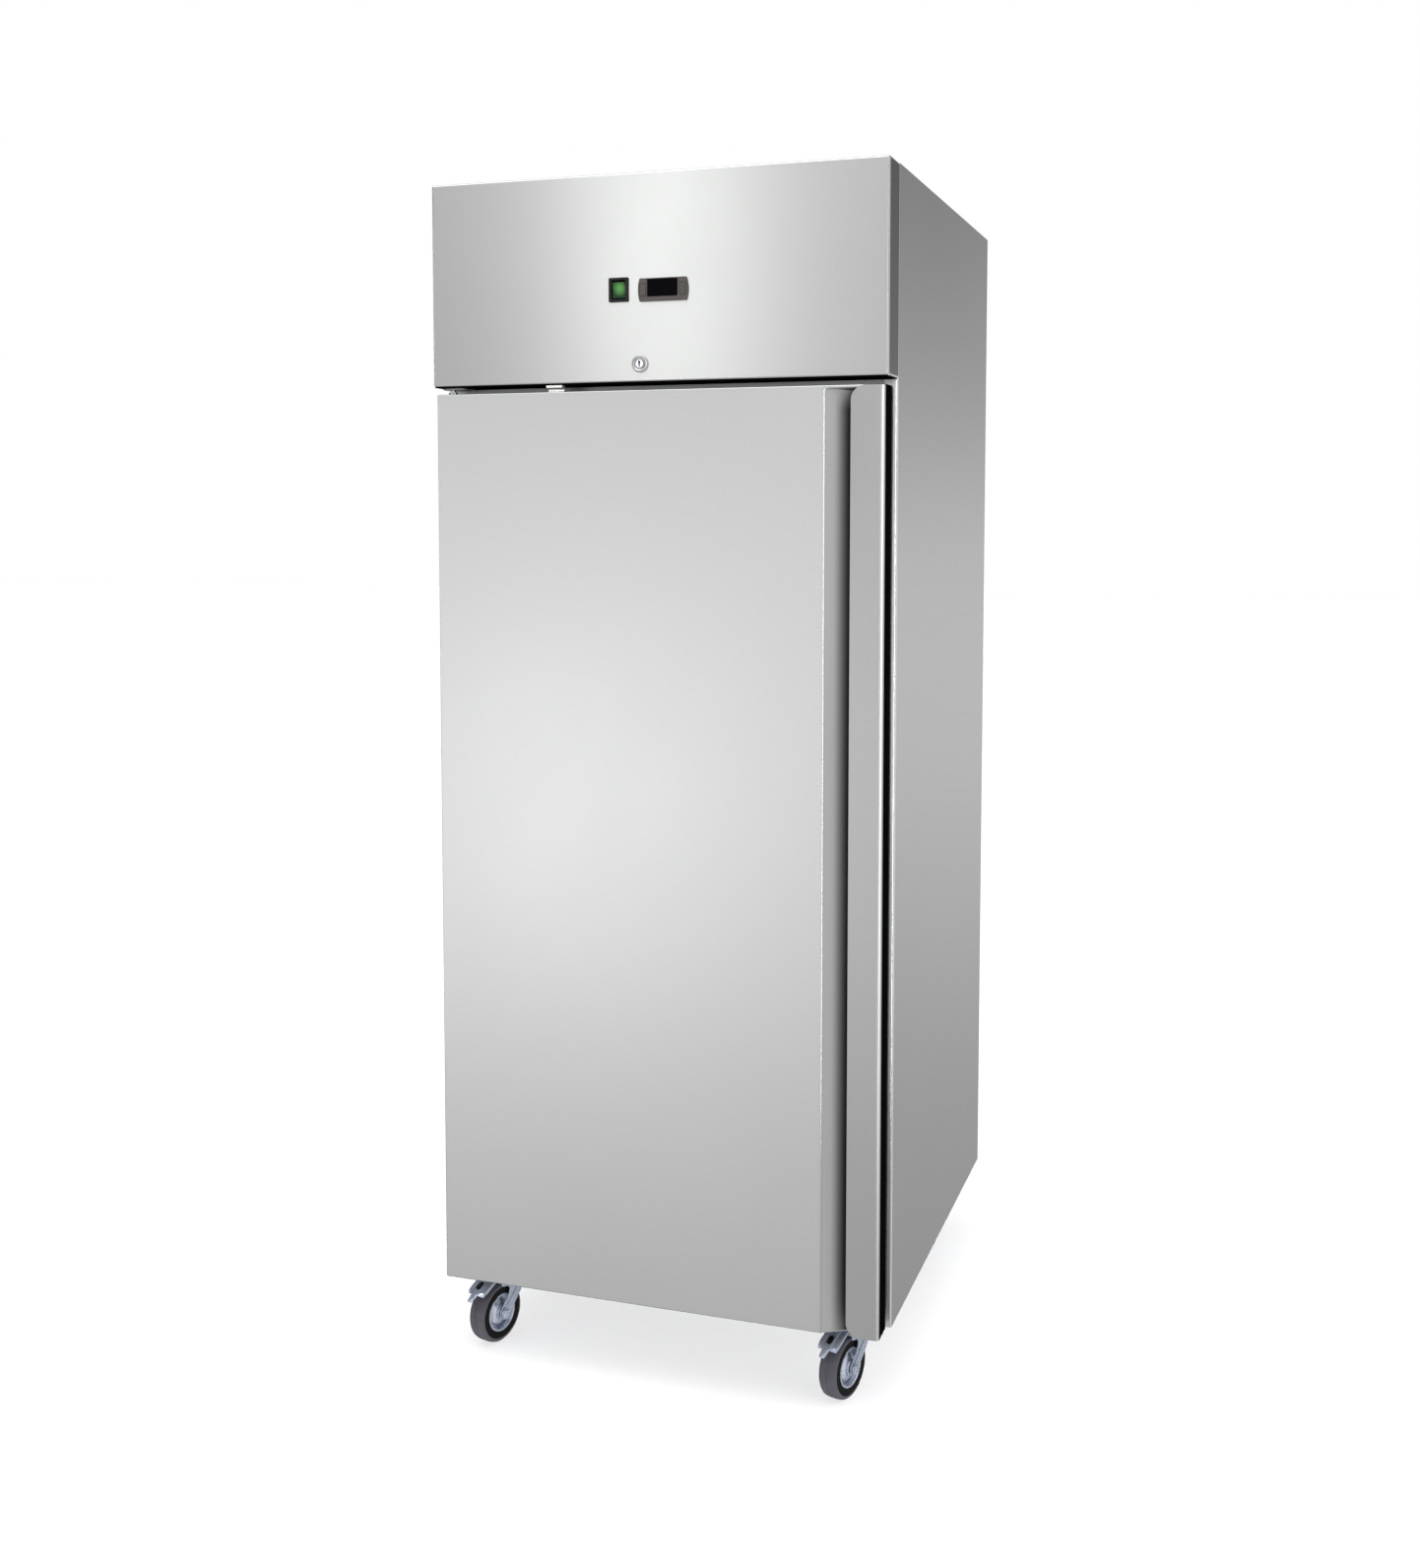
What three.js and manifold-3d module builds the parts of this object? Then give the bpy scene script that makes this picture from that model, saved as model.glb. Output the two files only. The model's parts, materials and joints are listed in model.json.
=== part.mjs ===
// A single-door reach-in refrigerator on casters, in millimetres, +Z up.
// The front faces -Y and the origin is at the middle of the footprint, on the floor.
// The stainless cabinet holds a foam body with a steel liner, racks and wire shelves, an
// evaporator under the ceiling, and a compressor set on the deck behind the head panel.
// The door hangs on two pins at the left and has a full-height finger channel at the right.

import * as THREE from 'three';
import { mergeVertices } from 'three/addons/utils/BufferGeometryUtils.js';
import Module from 'manifold-3d';

const wasm = await Module();
wasm.setup();

// ---- driving dimensions -------------------------------------------------------------

const WIDTH = 740;
const DEPTH = 830;
const HEIGHT = 1900;
const CASTER_HEIGHT = 125;
const TRIM = 5; // how far the lock stands out of the head panel
const SHEET = 1.2;
const GAP = 0.3; // between neighbouring pieces
const CLOSURE = 62; // from the door's front face to the cabinet's front frame

const SIDE = WIDTH / 2;
const BACK = DEPTH / 2;
const FACE = -BACK + TRIM; // front plane of the door and the head panel
const FRAME = FACE + CLOSURE; // front plane of the cabinet
const FLANGE = 21; // the side panels' folded front and rear edges

const HEAD_BOTTOM = 1584;
const DOOR_TOP = 1572;
const DOOR_BOTTOM = 129;
const DOOR_SIDE = 364;
const DOOR_BACK = FACE + 50.2; // rear face of the door's inner panel

const CAVITY = { side: 300, back: 344, floor: 196, ceiling: 1519 }; // faces of the steel liner
const DECK = 1588.3; // underside of the machine deck
const DECK_TOP = DECK + SHEET;

const PIVOT = { x: -350, y: FACE + 30, radius: 4.5 };
const EDGE = 10.5; // width of the door's black edge profile
const FOLD = 11; // depth of the door skin's folded edges
const CHANNEL = { left: 273, right: 318, depth: 27 };
const LIP_LEFT = 313;
const LIP_THICK = 1.6;
const LIP_RETURN = 8;
const LIP_CORNER = 22;
const CHANNEL_WALL = 352; // inner wall behind the handle lip

const LOCK = { x: -18, z: 1611, cam: 48 };
const SWITCH = { x: -52.5, z: 1724, width: 32, height: 37 };
const CONTROLLER = { x: 20, z: 1722, width: 80, height: 38 };

const SWIVEL = { x: 300, front: FRAME + 38, rear: 287, heading: -16 };
const WHEEL = { radius: 50, trail: 33, sides: 20 };

const SHELF_LEVELS = [430, 750, 1070];
const SHELF = { side: 262, front: -306, back: 334, thick: 6 };
const RACK = { front: -276, back: 300, bottom: 200, top: 1365, thick: 12, post: 26 };

// ---- materials ----------------------------------------------------------------------

function finish(color, roughness, metalness) {
  return new THREE.MeshStandardMaterial({ color, roughness, metalness });
}

const stainless = finish(0xc9cac8, 0.34, 1);
const innerSteel = finish(0xd2d3d2, 0.28, 1);
const galvanized = finish(0xa9adb0, 0.45, 1);
const zinc = finish(0xaab2bd, 0.32, 1);
const chrome = finish(0xdadada, 0.1, 1);
const foam = finish(0xe8dcae, 0.9, 0);
const blackPlastic = finish(0x0d0d0e, 0.5, 0);
const greyPlastic = finish(0x77736d, 0.55, 0);
const whitePlastic = finish(0xe9e9e6, 0.45, 0);
const darkGlass = finish(0x050607, 0.08, 0);
const greenLens = finish(0x2f8a32, 0.2, 0);
const gasketRubber = finish(0x1a1a1b, 0.7, 0);
const wheelRubber = finish(0x55535c, 0.75, 0);
const blackPaint = finish(0x17181a, 0.4, 0.3);
const coatedWire = finish(0xd7d8d6, 0.4, 0);
const aluminium = finish(0xc2c4c6, 0.4, 1);

// ---- geometry helpers ---------------------------------------------------------------

function box(x0, x1, y0, y1, z0, z1) {
  const block = new THREE.BoxGeometry(x1 - x0, y1 - y0, z1 - z0);
  return block.translate((x0 + x1) / 2, (y0 + y1) / 2, (z0 + z1) / 2);
}

function outline(points, ...holes) {
  const shape = new THREE.Shape(points.map(([a, b]) => new THREE.Vector2(a, b)));
  shape.holes = holes.map((hole) => new THREE.Path(hole.map(([a, b]) => new THREE.Vector2(a, b))));
  return shape;
}

function rectangle(a0, a1, b0, b1) {
  return [[a0, b0], [a1, b0], [a1, b1], [a0, b1]];
}

const AXES = {
  x: new THREE.Matrix4().set(0, 0, 1, 0, 1, 0, 0, 0, 0, 1, 0, 0, 0, 0, 0, 1),
  y: new THREE.Matrix4().set(1, 0, 0, 0, 0, 0, -1, 0, 0, 1, 0, 0, 0, 0, 0, 1),
  z: new THREE.Matrix4(),
};

// A shape drawn in the plane across an axis, in the order YZ, XZ or XY, and pulled along it.
function prism(axis, shape, from, to) {
  const options = { depth: to - from, bevelEnabled: false, curveSegments: 6 };
  const solid = new THREE.ExtrudeGeometry(shape, options).applyMatrix4(AXES[axis]);
  const start = axis === 'y' ? to : from;
  const shift = { x: 0, y: 0, z: 0, [axis]: start };
  return solid.translate(shift.x, shift.y, shift.z);
}

// A round bar along an axis, through the point [a, b] of the plane across that axis.
function rod(axis, [a, b], radius, from, to, sides = 12) {
  const bar = new THREE.CylinderGeometry(radius, radius, to - from, sides);
  const middle = (from + to) / 2;
  if (axis === 'x') return bar.rotateZ(-Math.PI / 2).translate(middle, a, b);
  if (axis === 'y') return bar.translate(a, middle, b);
  return bar.rotateX(Math.PI / 2).translate(a, b, middle);
}

function toManifold(geometry) {
  const plain = geometry.clone();
  plain.deleteAttribute('normal');
  plain.deleteAttribute('uv');
  const merged = mergeVertices(plain, 1e-4);
  return new wasm.Manifold(new wasm.Mesh({
    numProp: 3,
    vertProperties: new Float32Array(merged.attributes.position.array),
    triVerts: new Uint32Array(merged.index.array),
  }));
}

function fromManifold(manifold) {
  const mesh = manifold.getMesh();
  const geometry = new THREE.BufferGeometry();
  geometry.setAttribute('position', new THREE.BufferAttribute(mesh.vertProperties, 3));
  geometry.setIndex(new THREE.BufferAttribute(mesh.triVerts, 1));
  geometry.computeVertexNormals();
  return geometry;
}

function join(...geometries) {
  const solids = geometries.map(toManifold);
  return fromManifold(solids.reduce((whole, part) => whole.add(part)));
}

function cut(base, ...tools) {
  const solids = tools.map(toManifold);
  return fromManifold(solids.reduce((whole, tool) => whole.subtract(tool), toManifold(base)));
}

function overlap(one, two) {
  return fromManifold(toManifold(one).intersect(toManifold(two)));
}

const refrigerator = new THREE.Group();

function add(name, geometry, material, parent = refrigerator) {
  const mesh = new THREE.Mesh(geometry, material);
  mesh.name = name;
  parent.add(mesh);
  return mesh;
}

// ---- cabinet ------------------------------------------------------------------------

// A side panel is one sheet folded inwards at the front and the back.
function sidePanel(sign) {
  const outer = SIDE;
  const inner = SIDE - SHEET;
  const edge = SIDE - FLANGE;
  const section = [
    [edge, FRAME], [outer, FRAME], [outer, BACK], [edge, BACK],
    [edge, BACK - SHEET], [inner, BACK - SHEET], [inner, FRAME + SHEET], [edge, FRAME + SHEET],
  ].map(([x, y]) => [x * sign, y]);
  return prism('z', outline(section), CASTER_HEIGHT, HEIGHT);
}

// The foam body is open at the front, where the liner sits in it.
function foamBody() {
  const side = SIDE - SHEET - GAP;
  const front = FRAME + SHEET + GAP;
  const rear = BACK - SHEET - GAP;
  const wall = 1 + GAP;
  const block = box(-side, side, front, rear, CASTER_HEIGHT + SHEET + GAP, DECK - GAP);
  const hollow = box(
    -CAVITY.side - wall, CAVITY.side + wall,
    front - 10, CAVITY.back + wall,
    CAVITY.floor - wall, CAVITY.ceiling + wall,
  );
  return cut(block, hollow);
}

// The liner is a welded steel box whose front edge is folded out into the frame that the gasket meets.
function liner() {
  const sheet = 1;
  const side = CAVITY.side;
  const shell = box(
    -side - sheet, side + sheet,
    FRAME, CAVITY.back + sheet,
    CAVITY.floor - sheet, CAVITY.ceiling + sheet,
  );
  const edge = SIDE - FLANGE - GAP;
  const frame = box(-edge, edge, FRAME, FRAME + SHEET, CASTER_HEIGHT, DECK - GAP);
  const hollow = box(-side, side, FRAME - 10, CAVITY.back, CAVITY.floor, CAVITY.ceiling);
  return cut(join(shell, frame), hollow);
}

// The head panel is a tray turned on its side: a front with four folded edges, the top one narrow.
function headPanel() {
  const rear = FRAME - GAP;
  const inner = SIDE - SHEET;
  const topFold = 18;
  const block = box(-SIDE, SIDE, FACE, rear, HEAD_BOTTOM, HEIGHT);
  const hollow = box(-inner, inner, FACE + SHEET, rear + 10, HEAD_BOTTOM + SHEET, HEIGHT - SHEET);
  const openTop = box(-inner, inner, FACE + topFold, rear + 10, HEIGHT - 5, HEIGHT + 5);
  const past = 5;
  const lockHole = rod('y', [LOCK.x, LOCK.z], 9.6, FACE - past, FACE + past, 16);
  const switchHole = box(
    SWITCH.x - 13.6, SWITCH.x + 13.6, FACE - past, FACE + past, SWITCH.z - 15.6, SWITCH.z + 15.6,
  );
  const controllerHole = box(
    CONTROLLER.x - 36, CONTROLLER.x + 36, FACE - past, FACE + past, CONTROLLER.z - 15, CONTROLLER.z + 15,
  );
  const camSlot = box(
    LOCK.x - 9, LOCK.x + 48, FACE + 25, FACE + 37, HEAD_BOTTOM - past, HEAD_BOTTOM + past,
  );
  return cut(block, hollow, openTop, lockHole, switchHole, controllerHole, camSlot);
}

add('side_panel_left', sidePanel(-1), stainless);
add('side_panel_right', sidePanel(1), stainless);
const innerSide = SIDE - SHEET - GAP;
const behindFrame = FRAME + SHEET + GAP;
const aheadOfBack = BACK - SHEET - GAP;
const backEdge = SIDE - FLANGE - GAP;
add('back_panel', box(-backEdge, backEdge, BACK - SHEET, BACK, CASTER_HEIGHT, DECK + 30), galvanized);
add(
  'base_panel',
  box(-innerSide, innerSide, behindFrame, aheadOfBack, CASTER_HEIGHT, CASTER_HEIGHT + SHEET),
  galvanized,
);
add('machine_deck', box(-innerSide, innerSide, behindFrame, aheadOfBack, DECK, DECK_TOP), galvanized);
add('insulation_foam', foamBody(), foam);
add('inner_liner', liner(), innerSteel);
add('head_panel', headPanel(), stainless);

// ---- racks, runners and shelves -----------------------------------------------------

// A rack is a ladder of two posts and cross bars, hooked to a side wall.
function rack(sign) {
  const bars = [RACK.bottom, 590, 910, 1230, RACK.top - RACK.post];
  const windows = bars.slice(0, -1).map((bar, i) => rectangle(
    RACK.front + RACK.post, RACK.back - RACK.post, bar + RACK.post, bars[i + 1],
  ));
  const face = outline(rectangle(RACK.front, RACK.back, RACK.bottom, RACK.top), ...windows);
  const near = CAVITY.side - GAP - RACK.thick;
  const far = CAVITY.side - GAP;
  return sign > 0 ? prism('x', face, near, far) : prism('x', face, -far, -near);
}

// A runner is a channel open towards the middle: a wide ledge below and a narrow anti-tilt lip above.
function runner(sign, level) {
  const wall = CAVITY.side - 2 * GAP - RACK.thick;
  const section = [
    [wall - 32, level - 2], [wall, level - 2], [wall, level + 22], [wall - 11, level + 22],
    [wall - 11, level + 20], [wall - 2, level + 20], [wall - 2, level], [wall - 32, level],
  ].map(([x, z]) => [x * sign, z]);
  return prism('y', outline(section), -300, 332);
}

// A shelf is a welded grid: slots run front to back on both sides of a middle bar.
function wireShelf(level) {
  const bar = 7;
  const slots = 14;
  const pitch = (2 * SHELF.side - bar) / slots;
  const middle = (SHELF.front + SHELF.back) / 2;
  const bottom = level + GAP;
  const top = bottom + SHELF.thick;
  const openings = [];
  for (let i = 0; i < slots; i += 1) {
    const left = -SHELF.side + bar + i * pitch;
    const right = left + pitch - bar;
    openings.push(box(left, right, SHELF.front + bar, middle - bar / 2, bottom - 1, top + 1));
    openings.push(box(left, right, middle + bar / 2, SHELF.back - bar, bottom - 1, top + 1));
  }
  return cut(box(-SHELF.side, SHELF.side, SHELF.front, SHELF.back, bottom, top), ...openings);
}

const SIDES = [['left', -1], ['right', 1]];

for (const [side, sign] of SIDES) {
  add(`shelf_rack_${side}`, rack(sign), innerSteel);
}
SHELF_LEVELS.forEach((level, i) => {
  for (const [side, sign] of SIDES) {
    add(`shelf_runner_${side}_${i + 1}`, runner(sign, level), innerSteel);
  }
  add(`wire_shelf_${i + 1}`, wireShelf(level), coatedWire);
});

// ---- cooling set --------------------------------------------------------------------

// A fin pack: a solid core with a comb of fins along its top, pulled along Y.
function finBlock(x0, x1, y0, y1, z0, z1, count) {
  const core = z0 + 0.6 * (z1 - z0);
  const pitch = (x1 - x0) / count;
  const fin = pitch * 0.5;
  const points = [[x0, z0], [x1, z0], [x1, z1]];
  for (let i = 0; i < count; i += 1) {
    const right = x1 - i * pitch;
    points.push([right - fin, z1], [right - fin, core]);
    if (i < count - 1) points.push([right - pitch, core], [right - pitch, z1]);
  }
  points.push([x0, core]);
  return prism('y', outline(points), y0, y1);
}

// A hub with pitched blades, turning about Y.
function fan(x, y, z, radius, blades) {
  const parts = [rod('y', [0, 0], radius * 0.28, -9, 9, 16)];
  for (let i = 0; i < blades; i += 1) {
    const blade = outline([
      [radius * 0.2, -radius * 0.16], [radius * 0.92, -radius * 0.34], [radius, 0],
      [radius * 0.9, radius * 0.3], [radius * 0.2, radius * 0.16],
    ]);
    const plate = prism('y', blade, -1, 1);
    plate.rotateX(THREE.MathUtils.degToRad(22));
    plate.rotateY((i / blades) * 2 * Math.PI);
    parts.push(plate);
  }
  return join(...parts).translate(x, y, z);
}

// A can motor behind its fan, held by a flat cross arm.
function fanMotor(x, y, z, radius, length, arm) {
  const can = rod('y', [x, z], radius, y, y + length, 16);
  const crossArm = box(x - arm, x + arm, y + length - 6, y + length - 3, z - 9, z + 9);
  return join(can, crossArm);
}

const EVAPORATOR = { side: 255, front: 24, back: CAVITY.back - GAP, bottom: 1388, top: CAVITY.ceiling - GAP };
const EVAPORATOR_FAN = { y: EVAPORATOR.front + 22, z: 1454, radius: 54 };

// The cover hangs under the ceiling: a front with the fan opening, two sides and a floor.
function evaporatorCover() {
  const { side, front, back, bottom, top } = EVAPORATOR;
  const shell = box(-side, side, front, back, bottom, top);
  const hollow = box(-side + SHEET, side - SHEET, front + SHEET, back + 10, bottom + SHEET, top + 10);
  const fanOpening = rod('y', [0, EVAPORATOR_FAN.z], EVAPORATOR_FAN.radius + 6, front - 5, front + 5, 24);
  return cut(shell, hollow, fanOpening);
}

add('evaporator_cover', evaporatorCover(), innerSteel);
add('evaporator_coil', finBlock(-215, 215, 150, 300, 1402, 1508, 36), aluminium);
add('evaporator_fan', fan(0, EVAPORATOR_FAN.y, EVAPORATOR_FAN.z, EVAPORATOR_FAN.radius, 5), blackPlastic);
add('evaporator_fan_motor', fanMotor(0, EVAPORATOR_FAN.y + 10, EVAPORATOR_FAN.z, 30, 44, 245), blackPaint);

const lampSection = outline([[-284, 1518.7], [-284, 1504], [-277, 1496], [-263, 1496], [-256, 1504], [-256, 1518.7]]);
add('interior_lamp', prism('x', lampSection, -140, 140), whitePlastic);

const COMPRESSOR = { x: -190, y: 130, base: DECK_TOP + GAP, radius: 78, height: 196 };

// A hermetic pot on a foot plate.
function compressor() {
  const { x, y, base, radius, height } = COMPRESSOR;
  const profile = [
    [0, 14], [radius * 0.82, 14], [radius * 0.96, 26], [radius, 44], [radius, 104], [radius * 1.05, 106],
    [radius * 1.05, 112], [radius, 114], [radius, 150], [radius * 0.9, 176], [radius * 0.6, 191], [0, height],
  ].map(([r, h]) => new THREE.Vector2(r, h));
  const pot = new THREE.LatheGeometry(profile, 20).rotateX(Math.PI / 2).translate(x, y, base);
  const foot = box(x - 95, x + 95, y - 60, y + 60, base, base + 3);
  const post = rod('z', [x, y], 40, base, base + 30, 12);
  return join(pot, foot, post);
}

const CONDENSER = { left: 20, right: 300, front: -110, back: -50, bottom: DECK_TOP + GAP, top: 1850 };
const CONDENSER_FAN = { x: 160, y: CONDENSER.back + 26, z: 1722, radius: 104 };

add('compressor', compressor(), blackPaint);
add(
  'condenser_coil',
  finBlock(
    CONDENSER.left, CONDENSER.right, CONDENSER.front, CONDENSER.back, CONDENSER.bottom, CONDENSER.top, 30,
  ),
  aluminium,
);
add(
  'condenser_fan',
  fan(CONDENSER_FAN.x, CONDENSER_FAN.y, CONDENSER_FAN.z, CONDENSER_FAN.radius, 5),
  aluminium,
);

// The motor stands on the deck on a sheet foot.
function condenserFanMotor() {
  const { x, y, z } = CONDENSER_FAN;
  const can = rod('y', [x, z], 38, y + 12, y + 74, 16);
  const leg = box(x - 30, x + 30, y + 66, y + 69, DECK_TOP + GAP, z);
  const foot = box(x - 45, x + 45, y + 66, y + 106, DECK_TOP + GAP, DECK_TOP + GAP + 3);
  return join(can, leg, foot);
}

add('condenser_fan_motor', condenserFanMotor(), blackPaint);

// ---- controls in the head panel -----------------------------------------------------

function aroundY(degrees, geometry, x, z) {
  return geometry.translate(-x, 0, -z).rotateY(THREE.MathUtils.degToRad(degrees)).translate(x, 0, z);
}

const ROCKER = { y: FACE + 4, tilt: 7, side: 10.6, half: 13.2 };

function switchHousing() {
  const { x, z, width, height } = SWITCH;
  const bezel = box(x - width / 2, x + width / 2, FACE - 3, FACE - GAP, z - height / 2, z + height / 2);
  const body = box(x - 13.2, x + 13.2, FACE - 1, FACE + 28, z - 15.2, z + 15.2);
  const window = box(x - 11.2, x + 11.2, FACE - 6, FACE + 16, z - 14.2, z + 14.2);
  return cut(join(bezel, body), window);
}

// The rocker's face is a shallow V, so that one half is pressed in at each end of its travel.
function rocker() {
  const { y, tilt, side, half } = ROCKER;
  const section = outline([
    [-5, -half], [2, 1.5 - half], [5, -4], [5, 4], [2, half - 1.5], [-5, half], [-3.4, 0],
  ]);
  const solid = prism('x', section, -side, side);
  return solid.rotateX(THREE.MathUtils.degToRad(tilt)).translate(SWITCH.x, y, SWITCH.z);
}

add('power_switch_housing', switchHousing(), blackPlastic);
add('power_switch_rocker', rocker(), greenLens);

const WINDOW = { left: -25, right: 24, bottom: -11, top: 18 }; // about the controller's middle
const KEY = { x: 32, side: 4.5, half: 9, travel: 0.8 };

// The bezel's ends bow outwards, and its body passes back through the panel.
function controllerHousing() {
  const { x, z, width, height } = CONTROLLER;
  const side = width / 2;
  const half = height / 2;
  const face = new THREE.Shape();
  face.moveTo(x - side + 2, z - half);
  face.lineTo(x + side - 2, z - half);
  face.quadraticCurveTo(x + side + 2, z, x + side - 2, z + half);
  face.lineTo(x - side + 2, z + half);
  face.quadraticCurveTo(x - side - 2, z, x - side + 2, z - half);
  const bezel = prism('y', face, FACE - 4, FACE - GAP);
  const body = box(x - 35.5, x + 35.5, FACE - 1, FACE + 52, z - 14.5, z + 14.5);
  const recess = box(
    x + WINDOW.left, x + WINDOW.right, FACE - 6, FACE - 2.2, z + WINDOW.bottom, z + WINDOW.top,
  );
  const keyWells = [-1, 1].map((sign) => box(
    x + sign * KEY.x - KEY.side - 0.4, x + sign * KEY.x + KEY.side + 0.4,
    FACE - 6, FACE - 1.6, z - KEY.half - 0.4, z + KEY.half + 0.4,
  ));
  return cut(join(bezel, body), recess, ...keyWells);
}

function controllerDisplay() {
  const { x, z } = CONTROLLER;
  return box(
    x + WINDOW.left + GAP, x + WINDOW.right - GAP, FACE - 3.9, FACE - 2.5,
    z + WINDOW.bottom + GAP, z + WINDOW.top - GAP,
  );
}

function controllerKey(sign) {
  const x = CONTROLLER.x + sign * KEY.x;
  const { z } = CONTROLLER;
  const crown = [
    [x - KEY.side, FACE - 2.7], [x + KEY.side, FACE - 2.7], [x + KEY.side, FACE - 4.1],
    [x + KEY.side - 1, FACE - 4.5], [x - KEY.side + 1, FACE - 4.5], [x - KEY.side, FACE - 4.1],
  ];
  return prism('z', outline(crown), z - KEY.half, z + KEY.half);
}

add('controller_housing', controllerHousing(), greyPlastic);
add('controller_display', controllerDisplay(), darkGlass);
for (const [side, sign] of SIDES) {
  add(`controller_key_${side}`, controllerKey(sign), greyPlastic);
}

// The barrel is a sleeve with a front collar; the plug turns in it and carries the cam behind.
function lockBarrel() {
  const collar = rod('y', [LOCK.x, LOCK.z], 13, FACE - TRIM, FACE - GAP, 24);
  const sleeve = rod('y', [LOCK.x, LOCK.z], 9.2, FACE - 1, FACE + 24, 16);
  const bore = rod('y', [LOCK.x, LOCK.z], 7.3, FACE - 10, FACE + 30, 16);
  return cut(join(collar, sleeve), bore);
}

function lockPlug() {
  const core = rod('y', [LOCK.x, LOCK.z], 6.6, FACE - 4, FACE + 33, 16);
  const cam = box(LOCK.x - 8, LOCK.x + LOCK.cam, FACE + 29, FACE + 32, LOCK.z - 7, LOCK.z + 7);
  const keyway = box(LOCK.x - 0.8, LOCK.x + 0.8, FACE - 6, FACE, LOCK.z - 4, LOCK.z + 4);
  return cut(join(core, cam), keyway);
}

add('lock_barrel', lockBarrel(), chrome);
add('lock_plug', lockPlug(), chrome);

// ---- hinge brackets and door sensor -------------------------------------------------

// A bracket is a plate with a fixing flange on the frame and a pin towards the door.
function hingeBracket(plate, flange, pin) {
  const left = PIVOT.x - 16;
  const right = PIVOT.x + 26;
  const rear = FRAME - GAP;
  return join(
    box(left, right, PIVOT.y - 14, rear, plate[0], plate[1]),
    box(left, right, rear - 3, rear, flange[0], flange[1]),
    rod('z', [PIVOT.x, PIVOT.y], PIVOT.radius, pin[0], pin[1], 16),
  );
}

const upperPlate = [HEAD_BOTTOM - 3.5, HEAD_BOTTOM - GAP];
const lowerPlate = [CASTER_HEIGHT + 0.4, DOOR_BOTTOM - 0.6];
add(
  'hinge_bracket_top',
  hingeBracket(upperPlate, [DOOR_TOP - 9, upperPlate[1]], [DOOR_TOP - 9.5, upperPlate[1]]),
  zinc,
);
add(
  'hinge_bracket_bottom',
  hingeBracket(lowerPlate, [lowerPlate[0], DOOR_BOTTOM + 9], [lowerPlate[0], DOOR_BOTTOM + 9.5]),
  zinc,
);

const SENSOR = { x: -166, y: FACE + 16, half: 14, depth: 6 };

function sensorBlock(shift, z0, z1) {
  const { x, y, half, depth } = SENSOR;
  return box(x + shift - half, x + shift + half, y - depth, y + depth, z0, z1);
}

add('door_sensor_switch', sensorBlock(0, HEAD_BOTTOM - 4.8, HEAD_BOTTOM - GAP), whitePlastic);
add('door_sensor_magnet', sensorBlock(4, DOOR_TOP + GAP, DOOR_TOP + 4.3), whitePlastic);

// ---- door ---------------------------------------------------------------------------

// The folded front: face, sloping channel, channel floor, wall, and the handle lip folded over it.
// Its ends are closed over the face and the channel.
function doorFront() {
  const { left, right, depth } = CHANNEL;
  const rear = FACE + FOLD;
  const floor = FACE + depth;
  const wall = CHANNEL_WALL + SHEET;
  const fold = 0.6; // how far the sheet's inner line runs left of its outer line on the slope
  const past = 5;
  const slope = (right - left) / (depth - SHEET);
  const block = outline([
    [-DOOR_SIDE, rear], [-DOOR_SIDE, FACE], [DOOR_SIDE, FACE], [DOOR_SIDE, FACE + LIP_RETURN],
    [wall, FACE + LIP_RETURN], [wall, floor], [right - fold, floor], [left - 20, rear],
  ]);
  const inside = outline([
    [-DOOR_SIDE + SHEET, floor + past], [-DOOR_SIDE + SHEET, FACE + SHEET], [left - fold, FACE + SHEET],
    [right - fold, floor], [right - fold, floor + past],
  ]);
  const channel = outline([
    [left - past * slope, FACE - past], [LIP_LEFT, FACE - past], [LIP_LEFT, FACE + LIP_THICK],
    [CHANNEL_WALL, FACE + LIP_THICK], [CHANNEL_WALL, floor - SHEET], [right, floor - SHEET],
  ]);
  const low = DOOR_BOTTOM + SHEET;
  const high = DOOR_TOP - SHEET;
  return cut(
    prism('z', block, DOOR_BOTTOM, DOOR_TOP),
    prism('z', inside, low, high),
    prism('z', channel, low, high),
    box(wall, DOOR_SIDE - SHEET, FACE + SHEET, floor, DOOR_BOTTOM - past, DOOR_TOP + past),
    lipCorner(low, 1),
    lipCorner(high, -1),
  );
}

// Where the front is handle profile rather than skin; inset draws the seam back by a gap.
function handleSpace(inset) {
  const step = FACE + LIP_THICK + 3;
  const past = 10;
  const seam = CHANNEL.right + 1;
  const space = outline([
    [LIP_LEFT - 2 + inset, FACE - past], [DOOR_SIDE + past, FACE - past],
    [DOOR_SIDE + past, FACE + CHANNEL.depth + past], [seam + inset, FACE + CHANNEL.depth + past],
    [seam + inset, step - inset], [LIP_LEFT - 2 + inset, step - inset],
  ]);
  return prism('z', space, DOOR_BOTTOM - past, DOOR_TOP + past);
}

// What is taken off one of the lip's free corners, at the height end, to leave it round.
function lipCorner(end, sign) {
  const steps = 6;
  const centre = [LIP_LEFT + LIP_CORNER, end + sign * LIP_CORNER];
  const points = [[LIP_LEFT - 1, end], [LIP_LEFT - 1, centre[1]]];
  for (let i = 0; i <= steps; i += 1) {
    const angle = Math.PI + (sign * (i / steps) * Math.PI) / 2;
    points.push([centre[0] + LIP_CORNER * Math.cos(angle), centre[1] + LIP_CORNER * Math.sin(angle)]);
  }
  return prism('y', outline(points), FACE - 5, FACE + 3);
}

const INSET = EDGE + GAP;

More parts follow.
